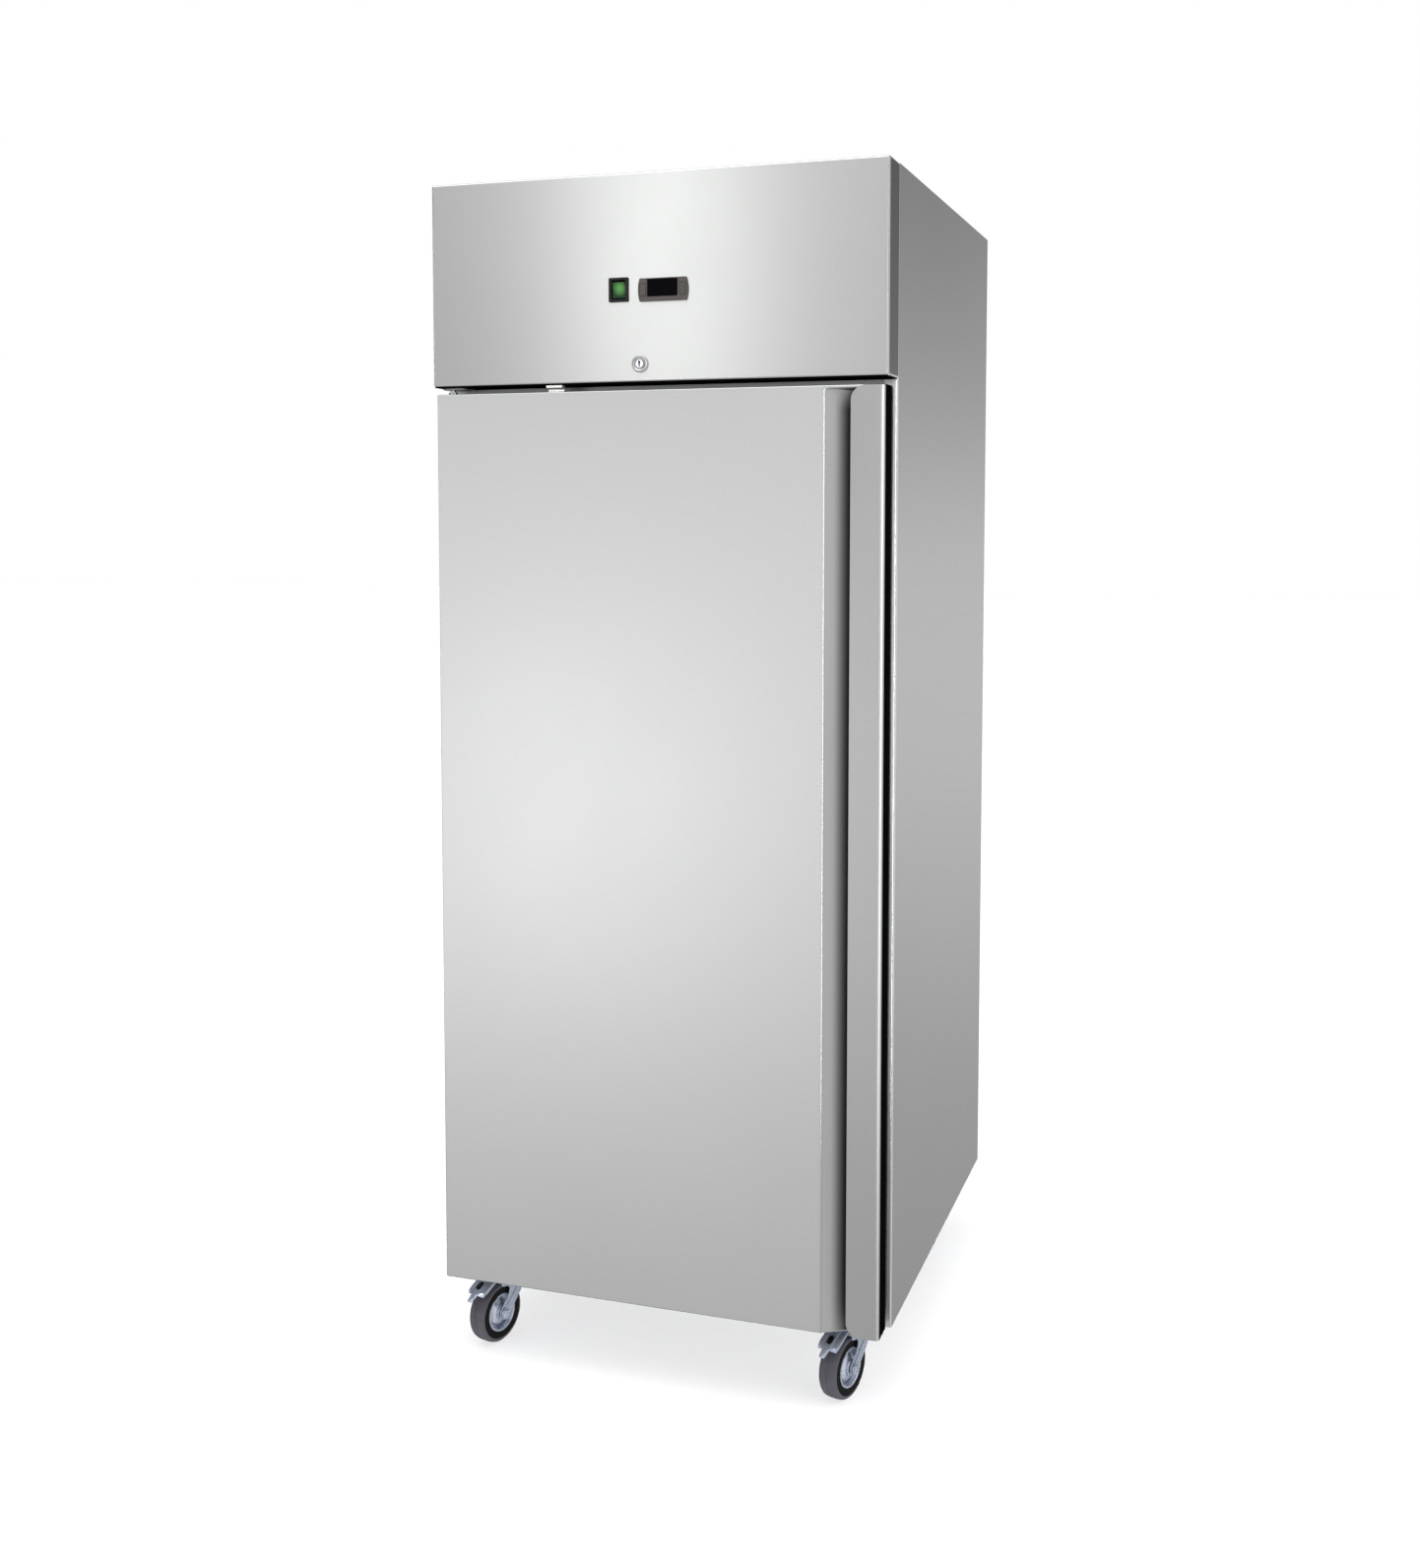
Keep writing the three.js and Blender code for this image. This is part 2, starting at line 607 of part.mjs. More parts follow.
// The foam fills the skin, and its front keeps the channel's slope up to the edge.
function doorFoam() {
  const rear = DOOR_BACK - SHEET - GAP;
  const front = FACE + SHEET + GAP;
  const floor = FACE + CHANNEL.depth + GAP;
  const edge = DOOR_SIDE - INSET;
  const slope = (CHANNEL.depth - SHEET) / (CHANNEL.right - CHANNEL.left);
  const section = outline([
    [-edge, front], [CHANNEL.left - 1, front], [CHANNEL.right - 1.2, floor],
    [edge, floor + slope * (edge - CHANNEL.right + 1.2)], [edge, rear], [-edge, rear],
  ]);
  return prism('z', section, DOOR_BOTTOM + INSET, DOOR_TOP - INSET);
}

// The black profile runs around the door's edges, with holes for the pins and a slot for the lock cam.
function doorEdgeFrame() {
  const front = FACE + FOLD + GAP;
  const rear = DOOR_BACK - SHEET - GAP;
  const ring = outline(
    rectangle(-DOOR_SIDE, DOOR_SIDE, DOOR_BOTTOM, DOOR_TOP),
    rectangle(-DOOR_SIDE + EDGE, DOOR_SIDE - EDGE, DOOR_BOTTOM + EDGE, DOOR_TOP - EDGE),
  );
  const lipBacking = box(
    CHANNEL_WALL + SHEET + GAP, DOOR_SIDE, FACE + LIP_RETURN + GAP, front + 5, DOOR_BOTTOM, DOOR_TOP,
  );
  const channelClearance = box(
    CHANNEL.left - 22, CHANNEL_WALL + SHEET + GAP, FACE - 1, FACE + CHANNEL.depth + GAP,
    DOOR_BOTTOM - 5, DOOR_TOP + 5,
  );
  const bores = [DOOR_BOTTOM, DOOR_TOP].map((z) => rod(
    'z', [PIVOT.x, PIVOT.y], PIVOT.radius + 0.8, z - EDGE, z + EDGE, 16,
  ));
  const camSlot = box(LOCK.x - 9, LOCK.x + 42, FACE + 26, FACE + 36, DOOR_TOP - EDGE - 2, DOOR_TOP + 5);
  return cut(join(prism('y', ring, front, rear), lipBacking), channelClearance, ...bores, camSlot);
}

function doorGasket() {
  const outer = 12;
  const inner = 32;
  const ring = outline(
    rectangle(-DOOR_SIDE + outer, DOOR_SIDE - outer, DOOR_BOTTOM + outer, DOOR_TOP - outer),
    rectangle(-DOOR_SIDE + inner, DOOR_SIDE - inner, DOOR_BOTTOM + inner, DOOR_TOP - inner),
  );
  return prism('y', ring, DOOR_BACK + GAP, FRAME - 0.9);
}

const front = doorFront();
add('door_skin', cut(front, handleSpace(0)), stainless);
add('door_handle', overlap(front, handleSpace(GAP)), stainless);
add('door_foam', doorFoam(), foam);
add('door_edge_frame', doorEdgeFrame(), blackPlastic);
add(
  'door_inner_panel',
  box(-DOOR_SIDE + 2, DOOR_SIDE - 2, DOOR_BACK - SHEET, DOOR_BACK, DOOR_BOTTOM + 2, DOOR_TOP - 2),
  innerSteel,
);
add('door_gasket', doorGasket(), gasketRubber);

// ---- casters ------------------------------------------------------------------------

function casterPlate() {
  const plate = box(-34, 34, -37.5, 37.5, CASTER_HEIGHT - 3.3, CASTER_HEIGHT - GAP);
  const race = rod('z', [0, 0], 22, 114, CASTER_HEIGHT - 3.3 + 1, 20);
  return join(plate, race);
}

// A pressed fork: a cap, two tapered legs and the wheel bolt; the braked one also has the pedal's pin.
function casterFork(braked) {
  const { radius, trail } = WHEEL;
  const ear = braked ? [[-40, 100], [-40, 112], [-27, 112], [-25, 107]] : [[-26, 100], [-26, 107]];
  const leg = outline([
    [22, 107], [22, 94], [-20, 47], [-26, 40.5], [-trail, 38.5], [-40, 40.5], [-44.5, radius],
    [-40, 62], [-30, 92], ...ear,
  ]);
  const parts = [
    prism('x', leg, -22.5, -19.5),
    prism('x', leg, 19.5, 22.5),
    box(-22.5, 22.5, -24, 22, 104, 107),
    rod('z', [0, 0], 26, 106, 113.5, 20),
    rod('x', [-trail, radius], 6, -26, 26, 12),
    rod('x', [-trail, radius], 9, 22, 27.5, 6),
    rod('x', [-trail, radius], 9, -27.5, -22, 6),
  ];
  if (braked) parts.push(rod('x', [-34, 108], 2.6, -22, 22, 10));
  return join(...parts);
}

// Hub, pressed disc and rubber tyre are one turned body; a flat of the tyre rests on the floor.
function casterWheel() {
  const tread = WHEEL.radius / Math.cos(Math.PI / WHEEL.sides);
  const profile = [
    [7.2, -18], [13, -18], [13, -6], [27, -8], [31, -14], [37, -14], [44, -16], [tread, -11],
    [tread, 11], [44, 16], [37, 14], [31, 14], [27, 8], [13, 6], [13, 18], [7.2, 18], [7.2, -18],
  ].map(([r, h]) => new THREE.Vector2(r, h));
  const turned = new THREE.LatheGeometry(profile, WHEEL.sides, Math.PI / WHEEL.sides);
  return turned.rotateZ(-Math.PI / 2);
}

function casterBrake() {
  const pedal = outline([
    [-29, 104.5], [-29, 111.5], [-32, 113], [-44, 112.5], [-60, 108], [-84, 96], [-97, 88.5], [-96, 85.5],
    [-82, 91], [-66, 98.5], [-50, 103.5], [-38, 104],
  ], Array.from({ length: 10 }, (_, i) => {
    const angle = -(i / 10) * 2 * Math.PI;
    return [-34 + 3.3 * Math.cos(angle), 108 + 3.3 * Math.sin(angle)];
  }));
  return prism('x', pedal, -16.5, 16.5);
}

const CASTERS = [
  ['front_left', -SWIVEL.x, SWIVEL.front, true],
  ['front_right', SWIVEL.x, SWIVEL.front, true],
  ['rear_left', -SWIVEL.x, SWIVEL.rear, false],
  ['rear_right', SWIVEL.x, SWIVEL.rear, false],
];

for (const [place, x, y, braked] of CASTERS) {
  const mount = new THREE.Group();
  mount.position.set(x, y, 0);
  refrigerator.add(mount);
  add(`caster_plate_${place}`, casterPlate(), zinc, mount);
  const swivel = new THREE.Group();
  swivel.rotation.z = THREE.MathUtils.degToRad(SWIVEL.heading);
  mount.add(swivel);
  add(`caster_fork_${place}`, casterFork(braked), zinc, swivel);
  const wheel = add(`caster_wheel_${place}`, casterWheel(), wheelRubber, swivel);
  wheel.position.set(0, -WHEEL.trail, WHEEL.radius);
  if (braked) add(`caster_brake_${place}`, casterBrake(), zinc, swivel);
}

export default refrigerator;
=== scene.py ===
"""Looks of a reach-in refrigerator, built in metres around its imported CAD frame."""

import json
import math

import bmesh
import bpy
from mathutils import Matrix, Vector


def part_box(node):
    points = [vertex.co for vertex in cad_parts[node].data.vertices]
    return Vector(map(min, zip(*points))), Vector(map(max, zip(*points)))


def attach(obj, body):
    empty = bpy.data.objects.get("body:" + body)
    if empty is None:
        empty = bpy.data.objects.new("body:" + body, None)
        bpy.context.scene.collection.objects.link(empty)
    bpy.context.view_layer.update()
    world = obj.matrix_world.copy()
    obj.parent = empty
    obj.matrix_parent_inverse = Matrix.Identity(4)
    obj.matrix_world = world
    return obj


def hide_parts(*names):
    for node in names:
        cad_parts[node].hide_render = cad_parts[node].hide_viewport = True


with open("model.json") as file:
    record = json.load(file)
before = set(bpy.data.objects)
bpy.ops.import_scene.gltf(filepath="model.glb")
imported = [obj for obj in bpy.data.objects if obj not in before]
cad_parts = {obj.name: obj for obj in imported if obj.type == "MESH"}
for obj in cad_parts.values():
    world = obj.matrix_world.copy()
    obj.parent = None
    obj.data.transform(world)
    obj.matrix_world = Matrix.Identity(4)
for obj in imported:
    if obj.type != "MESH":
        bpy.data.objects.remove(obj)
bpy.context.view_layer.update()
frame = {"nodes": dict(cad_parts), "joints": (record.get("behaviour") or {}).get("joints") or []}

MM = 0.001
SCENE = bpy.context.scene
ROOT = "cabinet"

# ---- camera -------------------------------------------------------------------------

CAMERA_PLACE = (0.948, -2.931, 1.374)
CAMERA_PITCH = -4.03
CAMERA_YAW = 18.70
CAMERA_LENS = 40.21
CAMERA_SHIFT = -0.09


def make_camera():
    """Level with the door's upper part, a little to the right, tilted a little downwards."""
    data = bpy.data.cameras.new("camera")
    data.lens = CAMERA_LENS
    data.sensor_width = 36.0
    data.shift_y = CAMERA_SHIFT
    camera = bpy.data.objects.new("camera", data)
    camera.location = CAMERA_PLACE
    camera.rotation_euler = (math.radians(90 + CAMERA_PITCH), 0, math.radians(CAMERA_YAW))
    SCENE.collection.objects.link(camera)
    SCENE.camera = camera


make_camera()


def at(node):
    """The lowest and highest corner of a CAD node, in millimetres."""
    low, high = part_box(node)
    return low / MM, high / MM


def joint_of(name):
    """A joint of the frame, by its name."""
    return next(joint for joint in frame["joints"] if joint["name"] == name)


def pivot(name):
    """A point on a joint's axis, in millimetres."""
    return Vector(joint_of(name)["pos_m"]) / MM


# ---- mesh helpers: everything is drawn in millimetres -------------------------------

PLACES = {
    "x": lambda a, b, h: (h, a, b),
    "y": lambda a, b, h: (a, h, b),
    "z": lambda a, b, h: (a, b, h),
}


def add_prism(bm, axis, points, start, end):
    """An outline in the plane across an axis (YZ, XZ or XY), pulled along it."""
    place = PLACES[axis]
    near = [bm.verts.new(place(a, b, start)) for a, b in points]
    far = [bm.verts.new(place(a, b, end)) for a, b in points]
    bm.faces.new(near)
    bm.faces.new(far[::-1])
    for i, first in enumerate(near):
        j = (i + 1) % len(near)
        bm.faces.new((first, far[i], far[j], near[j]))


def add_box(bm, low, high):
    """A plain block between two corners."""
    corners = [(low[0], low[1]), (high[0], low[1]), (high[0], high[1]), (low[0], high[1])]
    add_prism(bm, "z", corners, low[2], high[2])


def add_loft(bm, loops, cap=True, closed=False):
    """A skin over loops that have the same number of points."""
    rings = [[bm.verts.new(p) for p in loop] for loop in loops]
    pairs = list(zip(rings, rings[1:]))
    if closed:
        pairs.append((rings[-1], rings[0]))
    for one, two in pairs:
        for i in range(len(one)):
            j = (i + 1) % len(one)
            bm.faces.new((one[i], one[j], two[j], two[i]))
    if cap and not closed:
        bm.faces.new(rings[0][::-1])
        bm.faces.new(rings[-1])
    return [v for ring in rings for v in ring]


def add_turned(bm, axis, centre, profile, sides=40):
    """A closed profile of (radius, height) turned about an axis through centre."""
    place = PLACES[axis]
    shift = Vector(centre)
    rings = []
    for radius, height in profile:
        if radius < 1e-6:
            rings.append([bm.verts.new(Vector(place(0, 0, height)) + shift)] * sides)
            continue
        ring = []
        for i in range(sides):
            turn = 2 * math.pi * i / sides
            point = place(radius * math.cos(turn), radius * math.sin(turn), height)
            ring.append(bm.verts.new(Vector(point) + shift))
        rings.append(ring)
    for one, two in zip(rings, rings[1:] + rings[:1]):
        for i in range(sides):
            j = (i + 1) % sides
            corners = []
            for v in (one[i], one[j], two[j], two[i]):
                if v not in corners:
                    corners.append(v)
            if len(corners) > 2:
                bm.faces.new(corners)


def add_rod(bm, axis, centre, radius, start, end, sides=40):
    """A round bar about an axis through centre, from start to end along it."""
    add_turned(bm, axis, centre, [(0, start), (radius, start), (radius, end), (0, end)], sides)


def add_tube(bm, points, radius, sides=10, closed=False):
    """A round bar along points."""
    line = [Vector(p) for p in points]
    count = len(line)
    loops = []
    side = None
    for i, here in enumerate(line):
        before = line[i - 1] if i or closed else here
        after = line[(i + 1) % count] if i < count - 1 or closed else here
        along = (after - before).normalized()
        if side is None:
            side = along.orthogonal().normalized()
        side = (side - along * side.dot(along)).normalized()
        other = along.cross(side)
        turns = [2 * math.pi * k / sides for k in range(sides)]
        loops.append([here + radius * (math.cos(t) * side + math.sin(t) * other) for t in turns])
    if closed:
        last, first = loops[-1], loops[0]
        offset = min(range(sides), key=lambda k: (last[0] - first[k]).length)
        loops.append([first[(k + offset) % sides] for k in range(sides)])
        verts = add_loft(bm, loops, cap=False)
        bmesh.ops.remove_doubles(bm, verts=verts, dist=1e-4)
    else:
        add_loft(bm, loops)


def smooth_line(points, steps):
    """A line through points that bends evenly."""
    line = [Vector(p) for p in points]
    ends = [line[0] * 2 - line[1], *line, line[-1] * 2 - line[-2]]
    made = []
    for a, b, c, d in zip(ends, ends[1:], ends[2:], ends[3:]):
        for k in range(steps):
            t = k / steps
            made.append(0.5 * (
                2 * b + (c - a) * t + (2 * a - 5 * b + 4 * c - d) * t * t
                + (3 * b - a - 3 * c + d) * t * t * t
            ))
    made.append(line[-1])
    return made


def add_plate(bm, axis, a_breaks, b_breaks, start, end, is_open):
    """A plate over a grid of cells, left open where is_open(column, row) says so."""
    place = PLACES[axis]
    made = {}

    def corner(i, j, h):
        if (i, j, h) not in made:
            made[i, j, h] = bm.verts.new(place(a_breaks[i], b_breaks[j], h))
        return made[i, j, h]

    columns, rows = len(a_breaks) - 1, len(b_breaks) - 1

    def solid(i, j):
        return 0 <= i < columns and 0 <= j < rows and not is_open(i, j)

    for i in range(columns):
        for j in range(rows):
            if not solid(i, j):
                continue
            for h in (start, end):
                bm.faces.new([corner(*c, h) for c in ((i, j), (i + 1, j), (i + 1, j + 1), (i, j + 1))])
            edges = {
                (i - 1, j): ((i, j), (i, j + 1)),
                (i + 1, j): ((i + 1, j), (i + 1, j + 1)),
                (i, j - 1): ((i, j), (i + 1, j)),
                (i, j + 1): ((i, j + 1), (i + 1, j + 1)),
            }
            for neighbour, (c, d) in edges.items():
                if not solid(*neighbour):
                    bm.faces.new((corner(*c, start), corner(*d, start), corner(*d, end), corner(*c, end)))


def fillet(points, radius, closed=True, steps=5):
    """The outline with its corners rounded; radius is one number or one for each corner."""
    radii = radius if isinstance(radius, (list, tuple)) else [radius] * len(points)
    made = []
    count = len(points)
    for i, corner in enumerate(points):
        here = Vector(corner)
        if radii[i] <= 0 or (not closed and i in (0, count - 1)):
            made.append(tuple(here))
            continue
        back = (Vector(points[i - 1]) - here).normalized()
        ahead = (Vector(points[(i + 1) % count]) - here).normalized()
        half = back.angle(ahead) / 2
        reach = radii[i] / math.tan(half)
        centre = here + (back + ahead).normalized() * (radii[i] / math.sin(half))
        start = here + back * reach - centre
        stop = here + ahead * reach - centre
        for k in range(steps + 1):
            share = k / steps
            mixed = start.lerp(stop, share).normalized() * radii[i]
            made.append(tuple(centre + mixed))
    return made


def rectangle(a0, a1, b0, b1, radius=0.0, steps=5):
    """The outline of a rectangle with rounded corners."""
    return fillet([(a0, b0), (a1, b0), (a1, b1), (a0, b1)], radius, steps=steps)


def sheet(path, thick, radius):
    """The outline of a sheet folded along path, which is its outer line; it thickens to the left."""
    line = [Vector(p) for p in fillet(path, radius, closed=False)]
    inner = []
    for i, here in enumerate(line):
        before = line[max(i - 1, 0)]
        after = line[min(i + 1, len(line) - 1)]
        one = (here - before).normalized() if i else (after - here).normalized()
        two = (after - here).normalized() if i < len(line) - 1 else one
        along = (one + two).normalized()
        lean = max(along.dot(one), 0.5)
        inner.append(here + Vector((-along.y, along.x)) * (thick / lean))
    return [tuple(p) for p in line] + [tuple(p) for p in reversed(inner)]


def ring_loops(a0, a1, b0, b1, section, radius=0.0, steps=5):
    """Rectangular loops in the XZ plane for a section of (inset, y) points."""
    loops = []
    for inset, y in section:
        corner = max(radius - inset, 0.6) if radius else 0.0
        flat = rectangle(a0 + inset, a1 - inset, b0 + inset, b1 - inset, corner, steps)
        loops.append([(a, y, b) for a, b in flat])
    return loops


def round_edges(bm, edges, radius, segments):
    bmesh.ops.bevel(
        bm, geom=edges, offset=radius, segments=segments, profile=0.5, affect="EDGES", clamp_overlap=True
    )


def to_object(name, bm):
    """An object in the scene with the mesh of bm, its faces turned outwards."""
    bmesh.ops.recalc_face_normals(bm, faces=bm.faces)
    mesh = bpy.data.meshes.new(name)
    bm.to_mesh(mesh)
    bm.free()
    made = bpy.data.objects.new(name, mesh)
    SCENE.collection.objects.link(made)
    return made


def cut(bm, *tools):
    """What is left of bm once the closed tools are taken away."""
    base = to_object("base", bm)
    helpers = []
    for tool in tools:
        helper = to_object("tool", tool)
        helpers.append(helper)
        modifier = base.modifiers.new("cut", "BOOLEAN")
        modifier.object = helper
        modifier.operation = "DIFFERENCE"
        modifier.solver = "EXACT"
        modifier.use_self = True
    bpy.context.view_layer.update()
    left = bmesh.new()
    evaluated = base.evaluated_get(bpy.context.evaluated_depsgraph_get())
    left.from_mesh(evaluated.to_mesh())
    evaluated.to_mesh_clear()
    for made in [base, *helpers]:
        mesh = made.data
        bpy.data.objects.remove(made)
        bpy.data.meshes.remove(mesh)
    bmesh.ops.dissolve_limit(
        left, angle_limit=math.radians(0.5), verts=left.verts, edges=left.edges, delimit={"NORMAL"}
    )
    return left


def tool_of(builder, *arguments, **more):
    """A bmesh that holds one shape, to be used by cut."""
    bm = bmesh.new()
    builder(bm, *arguments, **more)
    return bm


def piece(name, bm, body, material, nodes=(), bevel=0.0, segments=3, limit=28.0, matrix=None):
    """A finished piece from a bmesh in millimetres. It rides on a body and stands for nodes."""
    name = f"{name}_detail" if name in frame["nodes"] else name
    if matrix is not None:
        bmesh.ops.transform(bm, matrix=matrix, verts=bm.verts)
    bmesh.ops.scale(bm, vec=(MM, MM, MM), verts=bm.verts)
    made = to_object(name, bm)
    made.data.materials.append(material)
    made.data.shade_smooth()
    if bevel:
        modifier = made.modifiers.new("edges", "BEVEL")
        modifier.width = bevel * MM
        modifier.segments = segments
        modifier.limit_method = "ANGLE"
        modifier.angle_limit = math.radians(limit)
        modifier.harden_normals = True
        modifier.miter_outer = "MITER_ARC"
    else:
        made.data.set_sharp_from_angle(angle=math.radians(limit))
        modifier = made.modifiers.new("normals", "WEIGHTED_NORMAL")
        modifier.keep_sharp = True
        modifier.weight = 80
    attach(made, body)
    if nodes:
        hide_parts(*nodes)
    return made


def polish_and_highlight_folds(made, material):
    """Gives the faces of a sheet's folds, those that lean, a smoother finish of their own in a lighter
    colour, which is a painted highlight.
    """
    made.data.materials.append(material)
    for face in made.data.polygons:
        if max(abs(part) for part in face.normal) < 0.999:
            face.material_index = 1


def keep(node, material):
    """A CAD node that stays as it is, with a finish."""
    materials = frame["nodes"][node].data.materials
    materials.clear()
    materials.append(material)


def add_screw(bm, axis, centre, radius, height, inward=1):
    """A pan-head screw with a recess; its head stands out along the axis, against inward."""
    profile = [
        (0, 0), (radius, 0), (radius, 0.4 * height), (0.75 * radius, 0.9 * height), (0.42 * radius, height),
        (0.36 * radius, 0.4 * height), (0, 0.4 * height),
    ]
    add_turned(bm, axis, centre, [(r, -inward * h) for r, h in profile], 18)


# ---- materials ----------------------------------------------------------------------


class Nodes:
    """A node tree and the few node patterns that the materials share."""

    def __init__(self, tree, clear=True):
        self.tree = tree
        if clear:
            tree.nodes.clear()

    def find(self, kind):
        return next(node for node in self.tree.nodes if node.bl_idname == kind)

    def add(self, kind, **settings):
        """A new node; each setting is an input's value or a property of the node."""
        node = self.tree.nodes.new(kind)
        for key, value in settings.items():
            if key in node.inputs:
                node.inputs[key].default_value = value
            else:
                setattr(node, key, value)
        return node

    def link(self, source, target):
        self.tree.links.new(source, target)

    def scaled(self, scale):
        """Object coordinates, stretched by scale."""
        coordinates = self.add("ShaderNodeTexCoord")
        mapping = self.add("ShaderNodeMapping")
        mapping.inputs["Scale"].default_value = scale
        self.link(coordinates.outputs["Object"], mapping.inputs["Vector"])
        return mapping.outputs["Vector"]

    def split(self, space):
        """The X, Y and Z outputs of a set of coordinates."""
        coordinates = self.add("ShaderNodeTexCoord")
        parts = self.add("ShaderNodeSeparateXYZ")
        self.link(coordinates.outputs[space], parts.inputs["Vector"])
        return parts.outputs

    def noise(self, vector, detail=3.0):
        node = self.add("ShaderNodeTexNoise", Scale=1.0, Detail=detail, Roughness=0.6)
        self.link(vector, node.inputs["Vector"])
        return node.outputs["Fac"]

    def mapped(self, value, low, high, start=0.0, stop=1.0):
        """value, from start..stop, as low..high."""
        node = self.add("ShaderNodeMapRange")
        for key, number in (("From Min", start), ("From Max", stop), ("To Min", low), ("To Max", high)):
            node.inputs[key].default_value = number
        self.link(value, node.inputs["Value"])
        return node.outputs["Result"]

    def math(self, operation, one, two):
        """Two outputs, or an output and a plain number, put together."""
        node = self.add("ShaderNodeMath", operation=operation)
        self.link(one, node.inputs[0])
        if isinstance(two, float):
            node.inputs[1].default_value = two
        else:
            self.link(two, node.inputs[1])
        return node.outputs[0]

    def mixed(self, share, one, two, blend_type="MIX"):
        """Two colours mixed; share is an output or a number, two an output or a colour."""
        node = self.add("ShaderNodeMix", data_type="RGBA", blend_type=blend_type)
        for key, value in (("Factor", share), ("A", one), ("B", two)):
            if isinstance(value, (float, tuple)):
                node.inputs[key].default_value = value
            else:
                self.link(value, node.inputs[key])
        return node.outputs["Result"]

    def tinted(self, value, stops):
        """A colour ramp over value; stops are (place, (r, g, b))."""
        node = self.add("ShaderNodeValToRGB")
        elements = node.color_ramp.elements
        while len(elements) < len(stops):
            elements.new(0.5)
        for element, (place, colour) in zip(elements, stops):
            element.position = place
            element.color = (*colour, 1.0)
        self.link(value, node.inputs["Fac"])
        return node.outputs["Color"]

    def bumped(self, value, strength, distance):
        node = self.add("ShaderNodeBump", Strength=strength, Distance=distance * MM)
        self.link(value, node.inputs["Height"])
        return node.outputs["Normal"]


def scaled_colour(colour, factor):
    return tuple(min(c * factor, 1.0) for c in colour)


def finish(name, colour, roughness, metallic=0.0, grain=400, swing=0.05, rough_swing=0.06, bump=0.1,
           depth=0.1, cloud=9.0, **sockets):
    """A surface with fine grain, slow clouds in its colour and roughness, and a bump from the grain.

    grain is cycles per metre, one number or one for each axis; swing and rough_swing are how far
    colour and roughness wander; depth is the bump's in millimetres; sockets are shader inputs.
    """
    material = bpy.data.materials.new(name)
    material.use_nodes = True
    nodes = Nodes(material.node_tree)
    shader = nodes.add("ShaderNodeBsdfPrincipled")
    shader.inputs["Metallic"].default_value = metallic
    for key, value in sockets.items():
        shader.inputs[key.replace("_", " ")].default_value = value
    fine = nodes.noise(nodes.scaled(grain if isinstance(grain, tuple) else (grain,) * 3))
    clouds = nodes.noise(nodes.scaled((cloud,) * 3), detail=4.0)
    blend = nodes.math("ADD", fine, clouds)
    tint = nodes.tinted(
        nodes.mapped(blend, 0, 1, 0.6, 1.4),
        [(0.0, scaled_colour(colour, 1 - swing)), (1.0, scaled_colour(colour, 1 + swing))],
    )
    nodes.link(tint, shader.inputs["Base Color"])
    rough = nodes.mapped(blend, roughness - rough_swing, roughness + rough_swing, 0.6, 1.4)
    nodes.link(rough, shader.inputs["Roughness"])
    nodes.link(nodes.bumped(fine, bump, depth), shader.inputs["Normal"])
    output = nodes.add("ShaderNodeOutputMaterial")
    nodes.link(shader.outputs["BSDF"], output.inputs["Surface"])
    return material, nodes, shader


def plain(*arguments, **settings):
    """A finish that needs no nodes beyond its own."""
    return finish(*arguments, **settings)[0]


def brushed(name, colour, roughness, grain, anisotropic=0.0, rotation=0.0):
    """Brushed stainless steel whose lines run along the axis with the small grain number."""
    material, nodes, shader = finish(
        name, colour, roughness, 1.0, grain, swing=0.02, rough_swing=0.025, bump=0.06, depth=0.05, cloud=4.0,
        Anisotropic=anisotropic, Anisotropic_Rotation=rotation,
    )
    if anisotropic:
        tangent = nodes.add("ShaderNodeTangent", direction_type="RADIAL", axis="Z")
        nodes.link(tangent.outputs["Tangent"], shader.inputs["Tangent"])
    return material


STEEL = (0.80, 0.81, 0.80)
ALONG_X = (5, 1400, 1400)
ALONG_Z = (1400, 1400, 5)

door_steel = brushed("door_steel", STEEL, 0.46, ALONG_Z)
# A darker copy of the door steel for the handle lip: painted shade, since the lip is the same steel.
shaded_lip_steel = brushed("shaded_lip_steel", (0.63, 0.64, 0.63), 0.40, ALONG_Z)
head_steel = brushed("head_steel", (0.72, 0.73, 0.72), 0.36, ALONG_X, 0.7, 0.25)
side_steel = brushed("side_steel", STEEL, 0.30, ALONG_Z)
# A dark copy of the steel for the head panel's side faces: painted shade.
shaded_return_steel = brushed("shaded_return_steel", (0.27, 0.27, 0.28), 0.34, ALONG_Z)
# Smoother steel for the folds; its lighter colour is a painted highlight on the fold lines.
highlit_fold_steel = brushed("highlit_fold_steel", (0.86, 0.87, 0.87), 0.20, ALONG_Z)
inner_steel = brushed("inner_steel", (0.76, 0.77, 0.77), 0.34, ALONG_Z)
chrome = plain("chrome", (0.86, 0.86, 0.88), 0.12, 1.0, 300, 0.03, 0.04, bump=0.03, depth=0.03)
zinc = plain("zinc", (0.56, 0.62, 0.74), 0.34, 0.6, 160, 0.14, 0.10, bump=0.12, depth=0.12, cloud=40.0)
rim_zinc = plain("rim_zinc", (0.66, 0.71, 0.82), 0.26, 0.75, 200, 0.04, bump=0.03, depth=0.05, cloud=30.0)
aluminium = plain(
    "aluminium", (0.80, 0.81, 0.82), 0.38, 1.0, (120, 120, 900), 0.06, 0.08, bump=0.12, depth=0.08
)
copper = plain("copper", (0.80, 0.42, 0.24), 0.28, 1.0, 120, 0.16, 0.10, bump=0.08, depth=0.06, cloud=25.0)
foam = plain("foam", (0.78, 0.68, 0.40), 0.92, 0.0, 500, 0.18, 0.05, bump=0.7, depth=0.8, cloud=14.0)
black_plastic = plain("black_plastic", (0.012, 0.012, 0.013), 0.42, 0.0, 900, 0.25, bump=0.25, depth=0.05)
